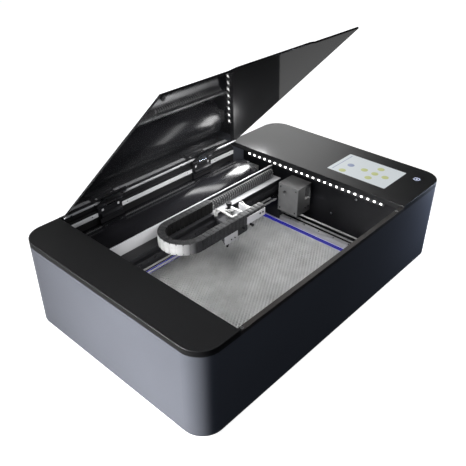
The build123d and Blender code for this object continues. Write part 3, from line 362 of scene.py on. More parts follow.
# ---------------------------------------------------------------- mesh helpers
def in_mm(corners):
    """A box's two corners, turned from metres into millimetres."""
    return [corner / mm for corner in corners]


def finish_piece(name, shape, slot, material=None, body=None, smooth=35.0):
    """Turns a bmesh into a named object, shaded, painted and riding on its body."""
    bmesh.ops.remove_doubles(shape, verts=shape.verts, dist=0.000002)
    bmesh.ops.recalc_face_normals(shape, faces=shape.faces)
    limit = math.radians(smooth)
    for face in shape.faces:
        face.smooth = True
    for edge in shape.edges:
        edge.smooth = len(edge.link_faces) == 2 and edge.calc_face_angle(0.0) < limit
    mesh = bpy.data.meshes.new(name)
    shape.to_mesh(mesh)
    shape.free()
    mesh.materials.append(material_of[material or slot])
    made = bpy.data.objects.new(name, mesh)
    scene.collection.objects.link(made)
    if body:
        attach(made, body)
    return made


def add_box(shape, low, high, bevel=0.0):
    """A box between two corners in mm, with bevelled edges."""
    low, high = Vector(low), Vector(high)
    part = bmesh.new()
    bmesh.ops.create_cube(part, size=1.0)
    bmesh.ops.scale(part, vec=(high - low) * mm, verts=part.verts)
    bmesh.ops.translate(part, vec=(high + low) * (0.5 * mm), verts=part.verts)
    if bevel:
        bmesh.ops.bevel(part, geom=part.edges[:], offset=bevel * mm, segments=2, profile=0.5,
                        affect="EDGES")
    join(shape, part)


def join(shape, part):
    """Moves a bmesh's faces into another."""
    mesh = bpy.data.meshes.new("joining")
    part.to_mesh(mesh)
    part.free()
    shape.from_mesh(mesh)
    bpy.data.meshes.remove(mesh)


def ring_points(centre, side, up, radius, count, start=0.0):
    """Points of a circle in the plane of two unit vectors."""
    points = []
    for step in range(count):
        angle = start + math.tau * step / count
        points.append(centre + side * (radius * math.cos(angle)) + up * (radius * math.sin(angle)))
    return points


def skin(shape, rings, closed=False, caps=True):
    """Faces between rings of points, in mm, with the ends capped."""
    rows = [[shape.verts.new(point * mm) for point in ring] for ring in rings]
    count = len(rows[0])
    pairs = list(zip(rows, rows[1:]))
    if closed:
        pairs.append((rows[-1], rows[0]))
    for first, second in pairs:
        for step in range(count):
            after = (step + 1) % count
            shape.faces.new((first[step], first[after], second[after], second[step]))
    if caps and not closed:
        shape.faces.new(rows[0][::-1])
        shape.faces.new(rows[-1])


def across(direction):
    """Two unit vectors square to a direction."""
    helper = Vector((0, 0, 1)) if abs(direction.z) < 0.9 else Vector((1, 0, 0))
    side = direction.cross(helper).normalized()
    return side, direction.cross(side).normalized()


def add_turned(shape, start, direction, profile, sides=24):
    """A turned part: profile is (distance along the axis, radius) pairs, in mm."""
    start, direction = Vector(start), Vector(direction).normalized()
    side, up = across(direction)
    rings = [ring_points(start + direction * along, side, up, radius, sides) for along, radius in profile]
    skin(shape, rings)


def add_rod(shape, start, end, radius, sides=20, edge=0.3):
    """A rod between two points, with chamfered ends."""
    start, end = Vector(start), Vector(end)
    length = (end - start).length
    edge = min(edge, radius * 0.4, length * 0.3)
    profile = [(0, radius - edge), (edge, radius), (length - edge, radius), (length, radius - edge)]
    add_turned(shape, start, end - start, profile, sides)


def add_tube(shape, points, radius, sides=12):
    """A round tube along a line of points, in mm."""
    points = [Vector(point) for point in points]
    rings = []
    for index, point in enumerate(points):
        before = points[max(index - 1, 0)]
        after = points[min(index + 1, len(points) - 1)]
        side, up = across((after - before).normalized())
        rings.append(ring_points(point, side, up, radius, sides))
    skin(shape, rings)


def smooth_line(points, per_run=6):
    """Points of a Catmull-Rom curve through the given ones."""
    points = [Vector(point) for point in points]
    padded = [points[0] * 2 - points[1], *points, points[-1] * 2 - points[-2]]
    line = []
    for a, b, c, d in zip(padded, padded[1:], padded[2:], padded[3:]):
        for step in range(per_run):
            t = step / per_run
            line.append(0.5 * (2 * b + (c - a) * t + (2 * a - 5 * b + 4 * c - d) * t * t
                               + (3 * b - a - 3 * c + d) * t ** 3))
    line.append(points[-1])
    return line


def add_socket_screw(shape, place, direction, radius=2.5, height=1.6):
    """A domed screw head with a hexagon socket, its foot at place."""
    place, direction = Vector(place), Vector(direction).normalized()
    side, up = across(direction)
    profile = [(0.0, 1.0), (0.35, 1.0), (0.75, 0.86), (1.0, 0.62)]
    rings = [ring_points(place + direction * (height * along), side, up, radius * wide, 24)
             for along, wide in profile]
    top = place + direction * height
    rings.append(hexagon(top, side, up, radius * 0.5))
    rings.append(hexagon(top - direction * (height * 0.6), side, up, radius * 0.46))
    skin(shape, rings)


def hexagon(centre, side, up, radius):
    """A hexagon as 24 points, so that it joins a ring of 24."""
    corners = ring_points(centre, side, up, radius, 6)
    points = []
    for first, second in zip(corners, corners[1:] + corners[:1]):
        points.extend(first.lerp(second, step / 4) for step in range(4))
    return points


def add_plate(shape, place, span, wide, high, steps):
    """A box bent along a path: place(s, a, z) maps path length, offset and height to a point."""
    rings = []
    for step in range(steps + 1):
        s = span[0] + (span[1] - span[0]) * step / steps
        corners = ((wide[0], high[0]), (wide[1], high[0]), (wide[1], high[1]), (wide[0], high[1]))
        rings.append([Vector(place(s, a, z)) for a, z in corners])
    skin(shape, rings)


# ---------------------------------------------------------------- honeycomb bed
def honeycomb_cells():
    """The bed's hexagonal cells, cut off straight at the frame, as one closed mesh."""
    low, high = in_mm(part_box("honeycomb_core"))
    flat, wall = 8.0, 0.7
    radius = flat / math.sqrt(3)
    shape = bmesh.new()
    columns = int((high.x - low.x) / (1.5 * radius)) + 2
    rows = int((high.y - low.y) / flat) + 2
    angles = [math.radians(60 * step) for step in range(6)]

    def corner(centre, size, angle, inset):
        x = min(max(centre[0] + size * math.cos(angle), low.x + inset), high.x - inset)
        y = min(max(centre[1] + size * math.sin(angle), low.y + inset), high.y - inset)
        return x, y

    for column in range(columns):
        for row in range(rows):
            x = low.x + column * 1.5 * radius
            y = low.y + (row + 0.5 * (column % 2)) * flat
            if not (low.x - 2 < x < high.x + 2 and low.y - 2 < y < high.y + 2):
                continue
            outer = [corner((x, y), radius, angle, 0.0) for angle in angles]
            inner = [corner((x, y), radius - wall / 1.73, angle, wall / 2) for angle in angles]
            add_cell(shape, outer, inner, low.z + 1.0, high.z)
    made = finish_piece("honeycomb_cells", shape, "honeycomb", body="casing", smooth=20)
    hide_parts("honeycomb_core")


def add_cell(shape, outer, inner, bottom, top):
    """One cell: its rims at the top and bottom and the wall inside."""
    levels = [(outer, top), (inner, top), (inner, bottom), (outer, bottom)]
    rows = [[shape.verts.new((x * mm, y * mm, z * mm)) for x, y in ring] for ring, z in levels]
    for first, second in zip(rows, rows[1:]):
        for step in range(6):
            after = (step + 1) % 6
            shape.faces.new((first[step], first[after], second[after], second[step]))


def honeycomb_tray():
    """The light sheet under the cells, which brightens the holes."""
    low, high = in_mm(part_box("honeycomb_core"))
    shape = bmesh.new()
    add_box(shape, (low.x, low.y, low.z), (high.x, high.y, low.z + 0.9), bevel=0.1)
    made = finish_piece("honeycomb_tray", shape, "honeycomb", body="casing")
    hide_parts("honeycomb_core")


def bed_edges():
    """The blue strip round the bed and its upright lip, both made to glow as painted light, and a light
    fringe beside both.
    """
    low, high = in_mm(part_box("honeycomb_frame"))
    top = high.z
    rows = (
        ("bed_edge_fringe", "edge_violet", 0.2, 8.8, 0.15),
        ("bed_edge_strip", "edge_blue_glow", 0.9, 7.6, 0.4),
    )
    for name, material, near, far, rise in rows:
        shape = bmesh.new()
        add_frame(shape, low, high, near, far, top, top + rise)
        if material == "edge_blue_glow":
            add_frame(shape, low, high, near, near + 0.7, top + rise, top + 5.0)
        else:
            add_frame(shape, low, high, near + 0.5, near + 1.5, top + 5.05, top + 5.5)
        finish_piece(name, shape, "honeycomb", material=material, body="casing")


def add_frame(shape, low, high, near, far, bottom, top):
    """A flat rectangular ring between two insets from a rectangle."""
    levels = [(near, bottom), (near, top), (far, top), (far, bottom)]
    rings = []
    for inset, z in levels:
        left, right = low.x + inset, high.x - inset
        front, rear = low.y + inset, high.y - inset
        corners = ((left, front), (right, front), (right, rear), (left, rear))
        rings.append([Vector((x, y, z)) for x, y in corners])
    skin(shape, rings, closed=True)


# ---------------------------------------------------------------- cable chain
chain_low, chain_high = 160.3, 189.0
bend_centre = Vector((-149.0, 55.0))
bend_outer, bend_inner = 57.0, 38.5
bend_middle = (bend_outer + bend_inner) / 2
chain_half = (bend_outer - bend_inner) / 2
link_length = 12.6
rear_leg_length, front_leg_length = 129.0, 141.0


def rear_leg_place(s, a, z):
    """The rear leg runs +X from the bend; a is measured outward from its middle line."""
    return (bend_centre.x + s, bend_centre.y + bend_middle + a, z)


def front_leg_place(s, a, z):
    """The front leg runs +X from the bend, on the other side."""
    return (bend_centre.x + s, bend_centre.y - bend_middle - a, z)


def bend_place(s, a, z):
    """The half turn, from the rear leg round to the front leg."""
    angle = math.pi / 2 + s / bend_middle
    reach = bend_middle + a
    return (bend_centre.x + reach * math.cos(angle), bend_centre.y + reach * math.sin(angle), z)


def add_chain_plates(shape, place, start, end, curved):
    """The links' plates above and below a run, with a raised rib on each."""
    count = round((end - start) / link_length)
    pitch = (end - start) / count
    steps = 4 if curved else 1
    low, high, half = chain_low, chain_high, chain_half
    add_plate(shape, place, (start, end), (1 - half, half - 1), (high - 3.4, high - 1.3), steps * count)
    add_plate(shape, place, (start, end), (1 - half, half - 1), (low + 1.3, low + 3.0), steps * count)
    for link in range(count):
        s = start + link * pitch
        near, far = s + 0.06 * pitch, s + 0.94 * pitch
        for bottom, top in ((high - 1.6, high - 0.4), (low + 0.4, low + 1.6)):
            add_plate(shape, place, (near, far), (0.8 - half, half - 0.8), (bottom, top), steps)
        add_plate(shape, place, (s + 0.3 * pitch, s + 0.7 * pitch), (-half + 2.2, half - 2.2),
                  (high - 0.6, high), steps)


def add_chain_bars(shape, place, start, end, edge):
    """The links' side walls along one side of a run, with a thinner tongue between them."""
    count = round((end - start) / link_length)
    pitch = (end - start) / count
    low, high = chain_low, chain_high
    for link in range(count):
        s = start + link * pitch
        add_plate(shape, place, (s + 0.1 * pitch, s + 0.9 * pitch), (edge, edge + 1.7),
                  (low + 1.0, high - 1.0), 4)
        after = s + 1.08 * pitch if link < count - 1 else end
        add_plate(shape, place, (s + 0.92 * pitch, after), (edge + 0.4, edge + 1.3),
                  (low + 4.0, high - 4.0), 1)


def add_chain_cables(shape, place, start, end, curved):
    """The cables and tubes inside a run."""
    steps = 24 if curved else 6
    for a, z, radius in ((-4.5, 168.0, 2.6), (0.5, 170.0, 2.2), (4.6, 168.5, 2.4), (-2.0, 177.0, 2.0),
                         (3.0, 177.5, 2.6)):
        points = []
        for step in range(steps + 1):
            points.append(place(start + (end - start) * step / steps, a, z))
        add_tube(shape, points, radius, sides=8)


def cable_chain():
    """The three runs of the cable chain, each replacing its CAD node."""
    bend_length = math.pi * bend_middle
    runs = (
        ("chain_rear_leg", rear_leg_place, 0.0, rear_leg_length, False),
        ("chain_bend", bend_place, 0.0, bend_length, True),
        ("chain_front_leg", front_leg_place, 0.0, front_leg_length, False),
    )
    for node, place, start, end, curved in runs:
        shape = bmesh.new()
        add_chain_plates(shape, place, start, end, curved)
        links = finish_piece(f"{node}_links", shape, "chain_plastic", smooth=30)
        shape = bmesh.new()
        add_chain_bars(shape, place, start, end, -chain_half)
        # the inner side walls get a near-black painted shade
        inner = finish_piece(f"{node}_inner_bars", shape, "chain_plastic", material="inner_wall_shade", smooth=30)
        shape = bmesh.new()
        add_chain_bars(shape, place, start, end, chain_half - 1.7)
        # on the bend the outer side walls get a painted highlight that fades to near black
        outer = finish_piece(f"{node}_outer_bars", shape, "chain_plastic",
                             material="chain_bar" if curved else None, smooth=30)
        shape = bmesh.new()
        add_chain_cables(shape, place, start + 0.5, end - 0.5, curved)
        cables = finish_piece(f"{node}_cables", shape, "black_plastic", smooth=50)
        for made in (links, inner, outer, cables):
            settle_chain(made, node)
            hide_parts(node)


def settle_chain(made, node):
    """The bend rides on its own body; each leg has its placement baked into its mesh."""
    if node == "chain_bend":
        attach(made, "chain_bend")
    elif node == "chain_rear_leg":
        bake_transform(made)
    else:
        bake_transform(made)


# ---------------------------------------------------------------- cables and belts
def cable_bundle():
    """Wires in an oval spiral wrap along the top of the gantry."""
    low, high = in_mm(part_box("cable_bundle"))
    wide = (high.y - low.y) / 2
    tall = (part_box("gantry_angle")[1].z / mm - 1.6 - low.z) / 2
    y, z = (low.y + high.y) / 2, low.z + tall
    shape = bmesh.new()
    wires = 9
    for wire in range(wires):
        points = []
        for step in range(60):
            turn = math.tau * wire / wires + step * 0.25
            x = low.x + (high.x - low.x) * step / 59
            points.append((x, y + (wide - 3.2) * math.cos(turn), z + (tall - 3.2) * math.sin(turn)))
        add_tube(shape, points, 2.1, sides=8)
    inside = finish_piece("cable_bundle_wires", shape, "black_plastic", material="wire_grey",
                          body="gantry", smooth=50)
    shape = bmesh.new()
    add_spiral(shape, low.x + 4, high.x - 4, (y, z), (wide, tall), pitch=7.2, width=4.6)
    wrap = finish_piece("cable_bundle_wrap", shape, "black_plastic", body="gantry", smooth=40)
    for made in (inside, wrap):
        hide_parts("cable_bundle")


def add_spiral(shape, start, end, centre, radii, pitch, width):
    """A flat ribbon wound round an oval that runs along X."""
    per_turn = 20
    count = int((end - start - width) / pitch * per_turn)
    section = ((0, 1.1), (0.5, 0.1), (width / 2, 0.0), (width - 0.5, 0.1), (width, 1.1))
    rings = []
    for step in range(count + 1):
        angle = math.tau * step / per_turn
        x = start + pitch * step / per_turn
        rings.append([Vector((x + along, centre[0] + (radii[0] - inset) * math.cos(angle),
                              centre[1] + (radii[1] - inset) * math.sin(angle)))
                      for along, inset in section])
    skin(shape, rings)


def stadium(first, second, radius, pitch):
    """Points and outward directions round a loop between two pulley centres, at even spacing."""
    run = second - first
    total = 2 * run + math.tau * radius
    count = round(total / pitch)
    rows = []
    for step in range(count):
        s = total * step / count
        if s < run:
            rows.append(((first + s, radius), (0.0, 1.0)))
        elif s < run + math.pi * radius:
            angle = math.pi / 2 - (s - run) / radius
            rows.append(((second + radius * math.cos(angle), radius * math.sin(angle)),
                         (math.cos(angle), math.sin(angle))))
        elif s < 2 * run + math.pi * radius:
            rows.append(((second - (s - run - math.pi * radius), -radius), (0.0, -1.0)))
        else:
            angle = -math.pi / 2 - (s - 2 * run - math.pi * radius) / radius
            rows.append(((first + radius * math.cos(angle), radius * math.sin(angle)),
                         (math.cos(angle), math.sin(angle))))
    return rows


def toothed_belt(node, along, body):
    """A closed belt with teeth on its inside; along is the axis it runs on."""
    low, high = in_mm(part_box(node))
    middle = (low + high) / 2
    if along == "y":
        reach, start, end, wide = (high.z - low.z) / 2, low.y, high.y, (low.x, high.x)
    else:
        reach, start, end, wide = (high.y - low.y) / 2, low.x, high.x, (low.z, high.z)
    shape = bmesh.new()
    rings = []
    for index, (point, out) in enumerate(stadium(start + reach, end - reach, reach, 0.75)):
        depth = 1.4 if index % 3 == 0 else 0.7
        outer = point
        inner = (point[0] - out[0] * depth, point[1] - out[1] * depth)
        ring = []
        for (u, v), w in ((outer, wide[0]), (outer, wide[1]), (inner, wide[1]), (inner, wide[0])):
            if along == "y":
                ring.append(Vector((w, u, middle.z + v)))
            else:
                ring.append(Vector((u, middle.y + v, w)))
        rings.append(ring)
    skin(shape, rings, closed=True)
    made = finish_piece(f"{node}_toothed", shape, "belt_rubber", body=body, smooth=30)
    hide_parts(node)


# ---------------------------------------------------------------- small parts
def lid_point(x, y, z):
    """A point in the open lid's own frame, as a point of the row frame, in mm."""
    return Vector((x, hinge_y + y * math.cos(lid_tilt) + z * math.sin(lid_tilt),
                   hinge_z - y * math.sin(lid_tilt) + z * math.cos(lid_tilt)))


def lid_direction(x, y, z):
    """A direction in the lid's own frame, turned into the row frame."""
    return lid_point(x, y, z) - lid_point(0, 0, 0)


hinge_centres = (-195.3, 97.7)


def hinge_details():
    """The hinges' screws on the lid and the body, their bright clips and the bands on the pins."""
    screws, clips = bmesh.new(), bmesh.new()
    lid_screws, bands = bmesh.new(), bmesh.new()
    for centre in hinge_centres:
        for dx in (-22.0, 22.0):
            add_socket_screw(screws, (centre + dx, 246.5, 168.0), (0, -1, 0), radius=2.6, height=1.2)
            add_socket_screw(lid_screws, lid_point(centre + dx, -33.0, 0.5), lid_direction(0, 0, -1),
                             radius=3.0, height=1.2)
            add_box(clips, (centre + dx - 2.5, 246.0, 189.0), (centre + dx + 2.5, 246.6, 194.5), bevel=0.2)
        start, end = centre - 13.0, centre + 13.0
        add_turned(bands, (start, hinge_y, hinge_z), (1, 0, 0),
                   [(0, 5.2), (0.4, 6.25), (end - start - 0.4, 6.25), (end - start, 5.2)], sides=32)
    finish_piece("hinge_body_screws", screws, "black_anodised", material="dark_screw", body="casing")
    finish_piece("hinge_light_clips", clips, "silver", body="casing")
    finish_piece("hinge_lid_screws", lid_screws, "black_anodised", material="dark_screw", body="lid")
    finish_piece("hinge_bands", bands, "steel", material="chrome", body="casing")


def hinge_rail_dots():
    """The row of small marks along the bar below the lid's rear edge, made to glow as a painted highlight."""
    shape = bmesh.new()
    low, high = in_mm(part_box("hinge_rail"))
    for start, end in ((-155.0, 58.0), (-310.0, -235.0)):
        count = int((end - start) / 4.2)
        for index in range(count):
            x = start + (end - start) * index / count
            add_box(shape, (x, low.y - 0.4, high.z - 2.2), (x + 2.2, low.y + 0.2, high.z - 1.0), bevel=0.15)
    finish_piece("hinge_rail_dots", shape, "silver", material="dot_glow_highlight", body="casing")


def rear_edge_details():
    """Screws that hold the rear strip, and the rim's two lid magnets."""
    screws = bmesh.new()
    for x in (-300.0, -240.0, 20.0, 150.0, 205.0):
        add_socket_screw(screws, lid_point(x, -13.8, 3.5), lid_direction(0, 0, -1), radius=2.4, height=1.0)
    finish_piece("lid_strip_screws", screws, "steel", material="dark_screw", body="lid")
    magnets = bmesh.new()
    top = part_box("front_rim")[1].z / mm
    for x, y in ((-310.0, -255.0), (198.5, -255.0)):
        add_turned(magnets, (x, y, top - 0.6), (0, 0, 1),
                   [(0, 3.6), (0.5, 3.6), (0.7, 3.3), (0.7, 1.2), (0.5, 0.9)])
    finish_piece("rim_magnets", magnets, "steel", material="screw_steel", body="casing")


def chamber_screws():
    """Screws on the chamber's right wall and along the rail bases."""
    shape = bmesh.new()
    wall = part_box("right_chamber_wall")[0].x / mm
    for y, z in ((-45.0, 84.6), (-180.0, 84.6), (90.0, 84.6), (-112.0, 150.0)):
        add_socket_screw(shape, (wall, y, z), (-1, 0, 0), radius=3.2, height=1.6)
    finish_piece("chamber_wall_screws", shape, "steel", material="screw_steel", body="casing")
    shape = bmesh.new()
    for x in (-319.0, 221.4):
        for index in range(9):
            add_socket_screw(shape, (x, -225.0 + index * 45.0, 53.0), (0, 0, 1), radius=2.2, height=0.9)
    finish_piece("rail_screws", shape, "steel", material="dark_screw", body="casing")


def gantry_details():
    """The angle plate's dotted edge, made to glow as a painted highlight, and the X rail's screws."""
    low, high = in_mm(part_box("gantry_angle"))
    shape = bmesh.new()
    count = int((high.x - low.x - 10) / 5.0)
    for index in range(count):
        x = low.x + 5 + index * 5.0
        add_box(shape, (x, high.y - 2.3, high.z - 2.4), (x + 2.6, high.y - 1.9, high.z - 0.6), bevel=0.1)
    finish_piece("gantry_edge_dots", shape, "silver", material="dot_glow_highlight", body="gantry")
    shape = bmesh.new()
    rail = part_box("x_rail")
    front, height = rail[0].y / mm, (rail[0].z + rail[1].z) / (2 * mm)
    for index in range(21):
        add_socket_screw(shape, (-305.0 + index * 25.5, front, height), (0, -1, 0), radius=1.9, height=0.7)
    finish_piece("x_rail_screws", shape, "steel", material="dark_screw", body="gantry")


def mirror_details():
    """The two adjusting screws and the corner screws of the second mirror's housing."""
    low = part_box("second_mirror_housing")[0] / mm
    shape = bmesh.new()
    for x in (236.0, 250.0):
        add_turned(shape, (x, low.y + 2.0, 94.0), (0, -1, 0),
                   [(0, 2.9), (2.6, 2.9), (3.0, 2.5), (3.0, 1.2), (1.6, 1.0)])
    finish_piece("mirror_adjusters", shape, "steel", material="dark_screw", body="gantry")
    shape = bmesh.new()
    for y, z in ((20.0, 150.0), (68.0, 150.0), (20.0, 88.0), (68.0, 88.0)):
        add_socket_screw(shape, (202.0, y, z), (-1, 0, 0), radius=2.2, height=1.2)
    finish_piece("mirror_housing_screws", shape, "steel", material="dark_screw", body="gantry")


def head_knobs():
    """The tall knob, two thumb screws and the socket screws on the laser head."""
    shape = bmesh.new()
    add_turned(shape, (20.0, 80.0, 160.0), (0, 0, 1),
               [(0, 4.0), (8, 4.0), (8, 6.4), (9, 7.0), (14, 7.0), (15, 6.2), (15, 2.0), (13.5, 1.6)])
    thumb_screw = [(-6, 3.0), (0, 3.0), (0, 3.6), (2.2, 3.6), (2.8, 3.0)]
    for x, z in ((-16.5, 155.0), (10.4, 152.0)):
        add_turned(shape, (x, -2.0, z), (0, -1, 0), thumb_screw)
    for x, z in ((-20.0, 110.0), (-8.0, 110.0), (-36.0, 150.0), (-4.0, 150.0)):
        add_socket_screw(shape, (x, 35.0, z), (0, -1, 0), radius=2.0, height=1.2)
    for x in (37.0, 47.0):
        add_socket_screw(shape, (x, -2.0, 171.0), (0, -1, 0), radius=2.4, height=1.4)
    finish_piece("head_knobs", shape, "black_plastic", material="dark_screw", body="head")


def head_probe():
    """The focus probe: two thin rods beside the nozzle and a small end."""
    shape = bmesh.new()
    add_rod(shape, (-49.0, 36.0, 122.5), (-39.5, 36.0, 101.0), 0.9, sides=12)
    add_rod(shape, (-39.5, 45.0, 114.0), (-30.0, 45.0, 92.0), 0.9, sides=12)
    add_turned(shape, (-49.0, 36.0, 122.5), (-0.4, 0, 0.9),
               [(-2.2, 0.6), (-1.4, 1.8), (0, 2.3), (1.4, 1.8), (2.2, 0.6)])
    finish_piece("head_probe", shape, "black_anodised", body="head", smooth=50)


def air_fitting():
    """The white air fitting: a bent pipe with a branch, on a stepped socket."""
    shape = bmesh.new()
    trunk = smooth_line([(-42.0, 62.0, 184.0), (-42.0, 58.0, 191.0), (-42.0, 42.0, 193.0),
                         (-43.5, 26.0, 193.0), (-45.0, 11.0, 193.0), (-37.0, 8.5, 193.0),
                         (-31.0, 10.0, 192.6)])
    branch = smooth_line([(-42.0, 42.0, 193.0), (-35.0, 41.5, 193.0), (-29.0, 41.0, 190.0),
                          (-27.0, 41.0, 184.0)])
    add_tube(shape, trunk, 2.6, sides=14)
    add_tube(shape, branch, 2.3, sides=14)
    add_turned(shape, (-42.0, 62.0, 174.0), (0, 0, 1),
               [(0, 4.2), (6, 4.2), (7, 3.4), (12, 3.4), (12.6, 2.8)])
    finish_piece("air_fitting", shape, "hose_white", material="fitting_white", body="head", smooth=50)


def head_wire():
    """The thin white wire over the top of the head."""
    shape = bmesh.new()
    route = smooth_line([(34.0, 56.0, 176.0), (31.3, 52.9, 185.0), (26.3, 38.8, 187.0),
                         (15.5, 18.2, 183.0), (10.0, 12.0, 179.5)])
    add_tube(shape, route, 1.1, sides=10)
    finish_piece("head_wire", shape, "hose_white", material="fitting_white", body="head", smooth=50)


def head_clip():
    """The small bracket behind the head's top."""
    shape = bmesh.new()
    add_box(shape, (-12.0, 49.0, 158.0), (-2.0, 60.0, 175.0), bevel=0.8)
    add_box(shape, (-8.0, 44.0, 175.0), (6.0, 56.0, 177.0), bevel=0.5)
    finish_piece("head_clip", shape, "silver", material="mirror_block", body="head")


def chain_end_clamp():
    """The chain's last links on their bracket, with a tongue that reaches into the front leg."""
    shape = bmesh.new()
    low, high = in_mm(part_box("chain_bracket"))
    links = 5
    pitch = (high.x - low.x) / links
    for index in range(links):
        x = low.x + index * pitch
        add_box(shape, (x, low.y + 0.6, high.z), (x + 0.9 * pitch, low.y + 18.5, high.z + 8.0), bevel=1.0)
    add_box(shape, (low.x, low.y + 1.4, high.z), (high.x - 2.0, low.y + 17.5, high.z + 6.6), bevel=0.6)
    add_box(shape, (low.x - 8.0, low.y + 3.0, chain_low + 4.5), (low.x + 0.4, low.y + 15.5, chain_high - 4.5),
            bevel=0.6)
    finish_piece("chain_end_clamp", shape, "chain_plastic", body="head")


# ---------------------------------------------------------------- screen and buttons
def add_rounded_slab(shape, low, high, bottom, top, radius, edge=0.15):
    """A flat slab with rounded plan corners and a softened top edge."""
    def outline(inset, z):
        points = []
        corners = ((high[0], high[1], 0), (low[0], high[1], 90),
                   (low[0], low[1], 180), (high[0], low[1], 270))
        for x, y, turn in corners:
            centre_x = x - radius if x == high[0] else x + radius
            centre_y = y - radius if y == high[1] else y + radius
            for step in range(7):
                angle = math.radians(turn + 15 * step)
                points.append(Vector((centre_x + (radius - inset) * math.cos(angle),
                                      centre_y + (radius - inset) * math.sin(angle), z)))
        return points

    skin(shape, [outline(0, bottom), outline(0, top - edge), outline(edge, top)])


def touch_screen():
    """The lit picture on the screen: plain discs on a pale ground, with a dark border."""
    low, high = in_mm(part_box("touch_screen"))
    ground = high.z + 0.05
    picture = bmesh.new()
    margin = 2.6
    left, right = low.x + margin, high.x - margin
    front, rear = low.y + margin, high.y - margin
    add_rounded_slab(picture, (left, front), (right, rear), ground - 0.3, ground, 3.0, edge=0.05)
    finish_piece("screen_picture", picture, "screen_glass", material="screen_picture", body="casing")
    places = {
        "disc_blue": ((0.235, 0.49),),
        "disc_green": ((0.23, 0.155), (0.47, 0.49), (0.645, 0.756), (0.65, 0.48), (0.64, 0.23), (0.82, 0.48)),
    }
    for material, rows in places.items():
        shape = bmesh.new()
        for u, v in rows:
            centre = (low.x + v * (high.x - low.x), high.y - u * (high.y - low.y), ground - 0.1)
            add_turned(shape, centre, (0, 0, 1), [(0, 8.8), (0.18, 8.8), (0.2, 8.7)], sides=40)
        finish_piece(f"screen_{material}", shape, "screen_glass", material=material, body="casing")
    bar = bmesh.new()
    y = high.y - 0.08 * (high.y - low.y)
    add_box(bar, (left + 8, y - 1.0, ground - 0.1), (right - 8, y + 1.0, ground + 0.1), bevel=0.05)
    finish_piece("screen_side_line", bar, "screen_glass", material="disc_blue", body="casing")


def start_button_ring():
    """A plain light ring and a dot in its middle, on top of the start button."""
    low, high = in_mm(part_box("start_button"))
    centre = (low + high) / 2
    spot, sunk = Vector((centre.x, centre.y, high.z)), Vector((0, 0, 0.2))
    shape = bmesh.new()
    rings = []
    count = 40
    for step in range(count):
        angle = math.tau * step / count
        out = Vector((math.cos(angle), math.sin(angle), 0))
        inner, outer = spot + out * 5.4, spot + out * 8.2
        rings.append([inner - sunk, inner, outer, outer - sunk])
    skin(shape, rings, closed=True)
    finish_piece("start_button_ring", shape, "black_gloss", material="ring_light", body="start_button")
    shape = bmesh.new()
    add_turned(shape, (centre.x, centre.y, high.z - 0.2), (0, 0, 1),
               [(0, 2.4), (0.2, 2.4), (0.22, 2.2)], sides=24)
    finish_piece("start_button_dot", shape, "black_gloss", material="ring_light", body="start_button")


# ---------------------------------------------------------------- camera, light and floor
def camera():
    """The photograph's viewpoint."""
    data = bpy.data.cameras.new("camera")
    data.lens = 45.66
    data.sensor_width = 36.0
    down, aside = 0.5756, 0.8298
    made = bpy.data.objects.new("camera", data)
    made.location = (-0.8621, -0.7402, 0.8708)
    made.rotation_euler = (math.pi / 2 - down, 0.0, -aside)
    scene.collection.objects.link(made)
    scene.camera = made


def area_light(name, place, target, size, power, colour=(1.0, 1.0, 1.0), seen=True, spread=180.0):
    """A rectangular soft light aimed at a point; spread narrows its beam, in degrees."""
    data = bpy.data.lights.new(name, "AREA")
    data.shape = "RECTANGLE"
    data.size, data.size_y = size
    data.energy = power
    data.color = colour
    data.spread = math.radians(spread)
    made = bpy.data.objects.new(name, data)
    made.location = place
    aim = Vector(target) - Vector(place)
    made.rotation_euler = aim.to_track_quat("-Z", "Y").to_euler()
    scene.collection.objects.link(made)
    made.visible_camera = False
    made.visible_glossy = seen


def lights():
    """Soft studio lights, the two LED strips and the glow that the tube cover mirrors."""
    blue = (0.7, 0.8, 1.0)
    area_light("left_softbox", (-1.9, 0.6, 0.75), (-0.41, -0.17, 0.07), (0.7, 0.7), 7.5, spread=30.0)
    area_light("rear_softbox", (2.4, 1.9, 1.45), (0.1, 0.1, 0.2), (1.2, 0.8), 17.0)
    area_light("back_softbox", (-0.5, 2.6, 0.4), (0.0, 0.26, 0.15), (1.6, 0.7), 40.0)
    area_light("overhead", (-0.3, -0.6, 2.2), (-0.05, 0.0, 0.03), (1.2, 1.2), 8.0)
    area_light("cover_glint", (0.212, 0.2, 0.25), (0.187, 0.178, 0.18), (0.11, 0.045), 0.5)
    area_light("cover_sheen", (0.05, 0.2, 0.25), (0.03, 0.178, 0.18), (0.26, 0.03), 0.2)
    area_light("front_end", (0.53, -0.34, 0.2), (0.4, -0.26, 0.14), (0.08, 0.12), 0.9, colour=blue)
    area_light("front_softbox", (-1.6, -1.2, 0.8), (-0.2, -0.26, 0.1), (0.6, 0.6), 4.0, colour=blue)
    area_light("bed_fill", (0.0, 0.04, 0.3), (-0.02, 0.06, 0.03), (0.2, 0.16), 1.6, seen=False)
    area_light("left_leds", (-0.312, -0.01, 0.188), (-0.1, -0.01, 0.12), (0.006, 0.4), 1.0, seen=False)
    area_light("right_leds", (0.214, -0.01, 0.188), (0.05, -0.01, 0.04), (0.006, 0.4), 0.4, seen=False)
    area_light("chamber_fill", (-0.05, -0.24, 0.15), (-0.05, 0.25, 0.2), (0.5, 0.08), 0.25, seen=False)


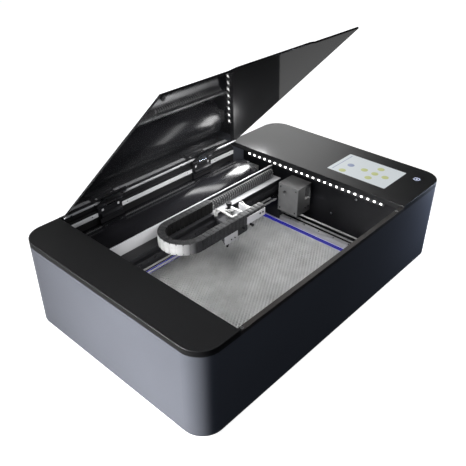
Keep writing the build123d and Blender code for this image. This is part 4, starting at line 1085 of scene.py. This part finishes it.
def world():
    """White for the camera; for reflections dark, but pale low down behind the object."""
    made = bpy.data.worlds.new("studio")
    scene.world = made
    made.use_nodes = True
    tree = made.node_tree
    back = tree.nodes["Background"]
    path = tree.nodes.new("ShaderNodeLightPath")
    colour = tint(tree, path.outputs["Is Diffuse Ray"], (1.0, 1.0, 1.0), (0.6, 0.78, 1.0))
    tree.links.new(colour, back.inputs["Color"])
    behind = ramped(tree, axis_value(tree, "Y", "Generated"), (-0.05, 0.2), (0.0, 1.0))
    below = ramped(tree, axis_value(tree, "Z", "Generated"), (0.1, -0.2), (0.0, 0.22))
    product = maths(tree, "MULTIPLY", behind, below)
    mirrored = maths(tree, "MULTIPLY", product, path.outputs["Is Glossy Ray"])
    dim = maths(tree, "MAXIMUM", mirrored, path.outputs["Is Camera Ray"])
    tree.links.new(ramped(tree, dim, (0.0, 1.0), (0.012, 1.0)), back.inputs["Strength"])
    scene.view_settings.view_transform = "Standard"


def floor():
    """A plain pale round floor that lights nothing and isn't mirrored."""
    shape = bmesh.new()
    bmesh.ops.create_circle(shape, cap_ends=True, radius=9.0, segments=96)
    mesh = bpy.data.meshes.new("floor")
    shape.to_mesh(mesh)
    shape.free()
    material, tree, shader = blank_material("pale_floor")
    shader.inputs["Roughness"].default_value = 0.9
    shader.inputs["Specular IOR Level"].default_value = 0.1
    shader.inputs["Emission Color"].default_value = (1.0, 1.0, 1.0, 1.0)
    shader.inputs["Emission Strength"].default_value = 0.97
    patches = spread(tree, noise(tree, 3.0), 0.0, 1.0)
    tree.links.new(tint(tree, patches, (0.5, 0.5, 0.5), (0.52, 0.52, 0.52)), shader.inputs["Base Color"])
    mesh.materials.append(material)
    made = bpy.data.objects.new("floor", mesh)
    scene.collection.objects.link(made)
    made.location.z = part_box("feet")[0].z
    made.visible_diffuse = False
    made.visible_glossy = False


camera()
paint_nodes()
round_edges()
honeycomb_cells()
honeycomb_tray()
bed_edges()
cable_chain()
cable_bundle()
toothed_belt("left_y_belt", "y", "casing")
toothed_belt("right_y_belt", "y", "casing")
toothed_belt("x_belt", "x", "gantry")
hinge_details()
hinge_rail_dots()
rear_edge_details()
chamber_screws()
gantry_details()
mirror_details()
head_knobs()
head_probe()
air_fitting()
head_wire()
head_clip()
chain_end_clamp()
touch_screen()
start_button_ring()
lights()
world()
floor()
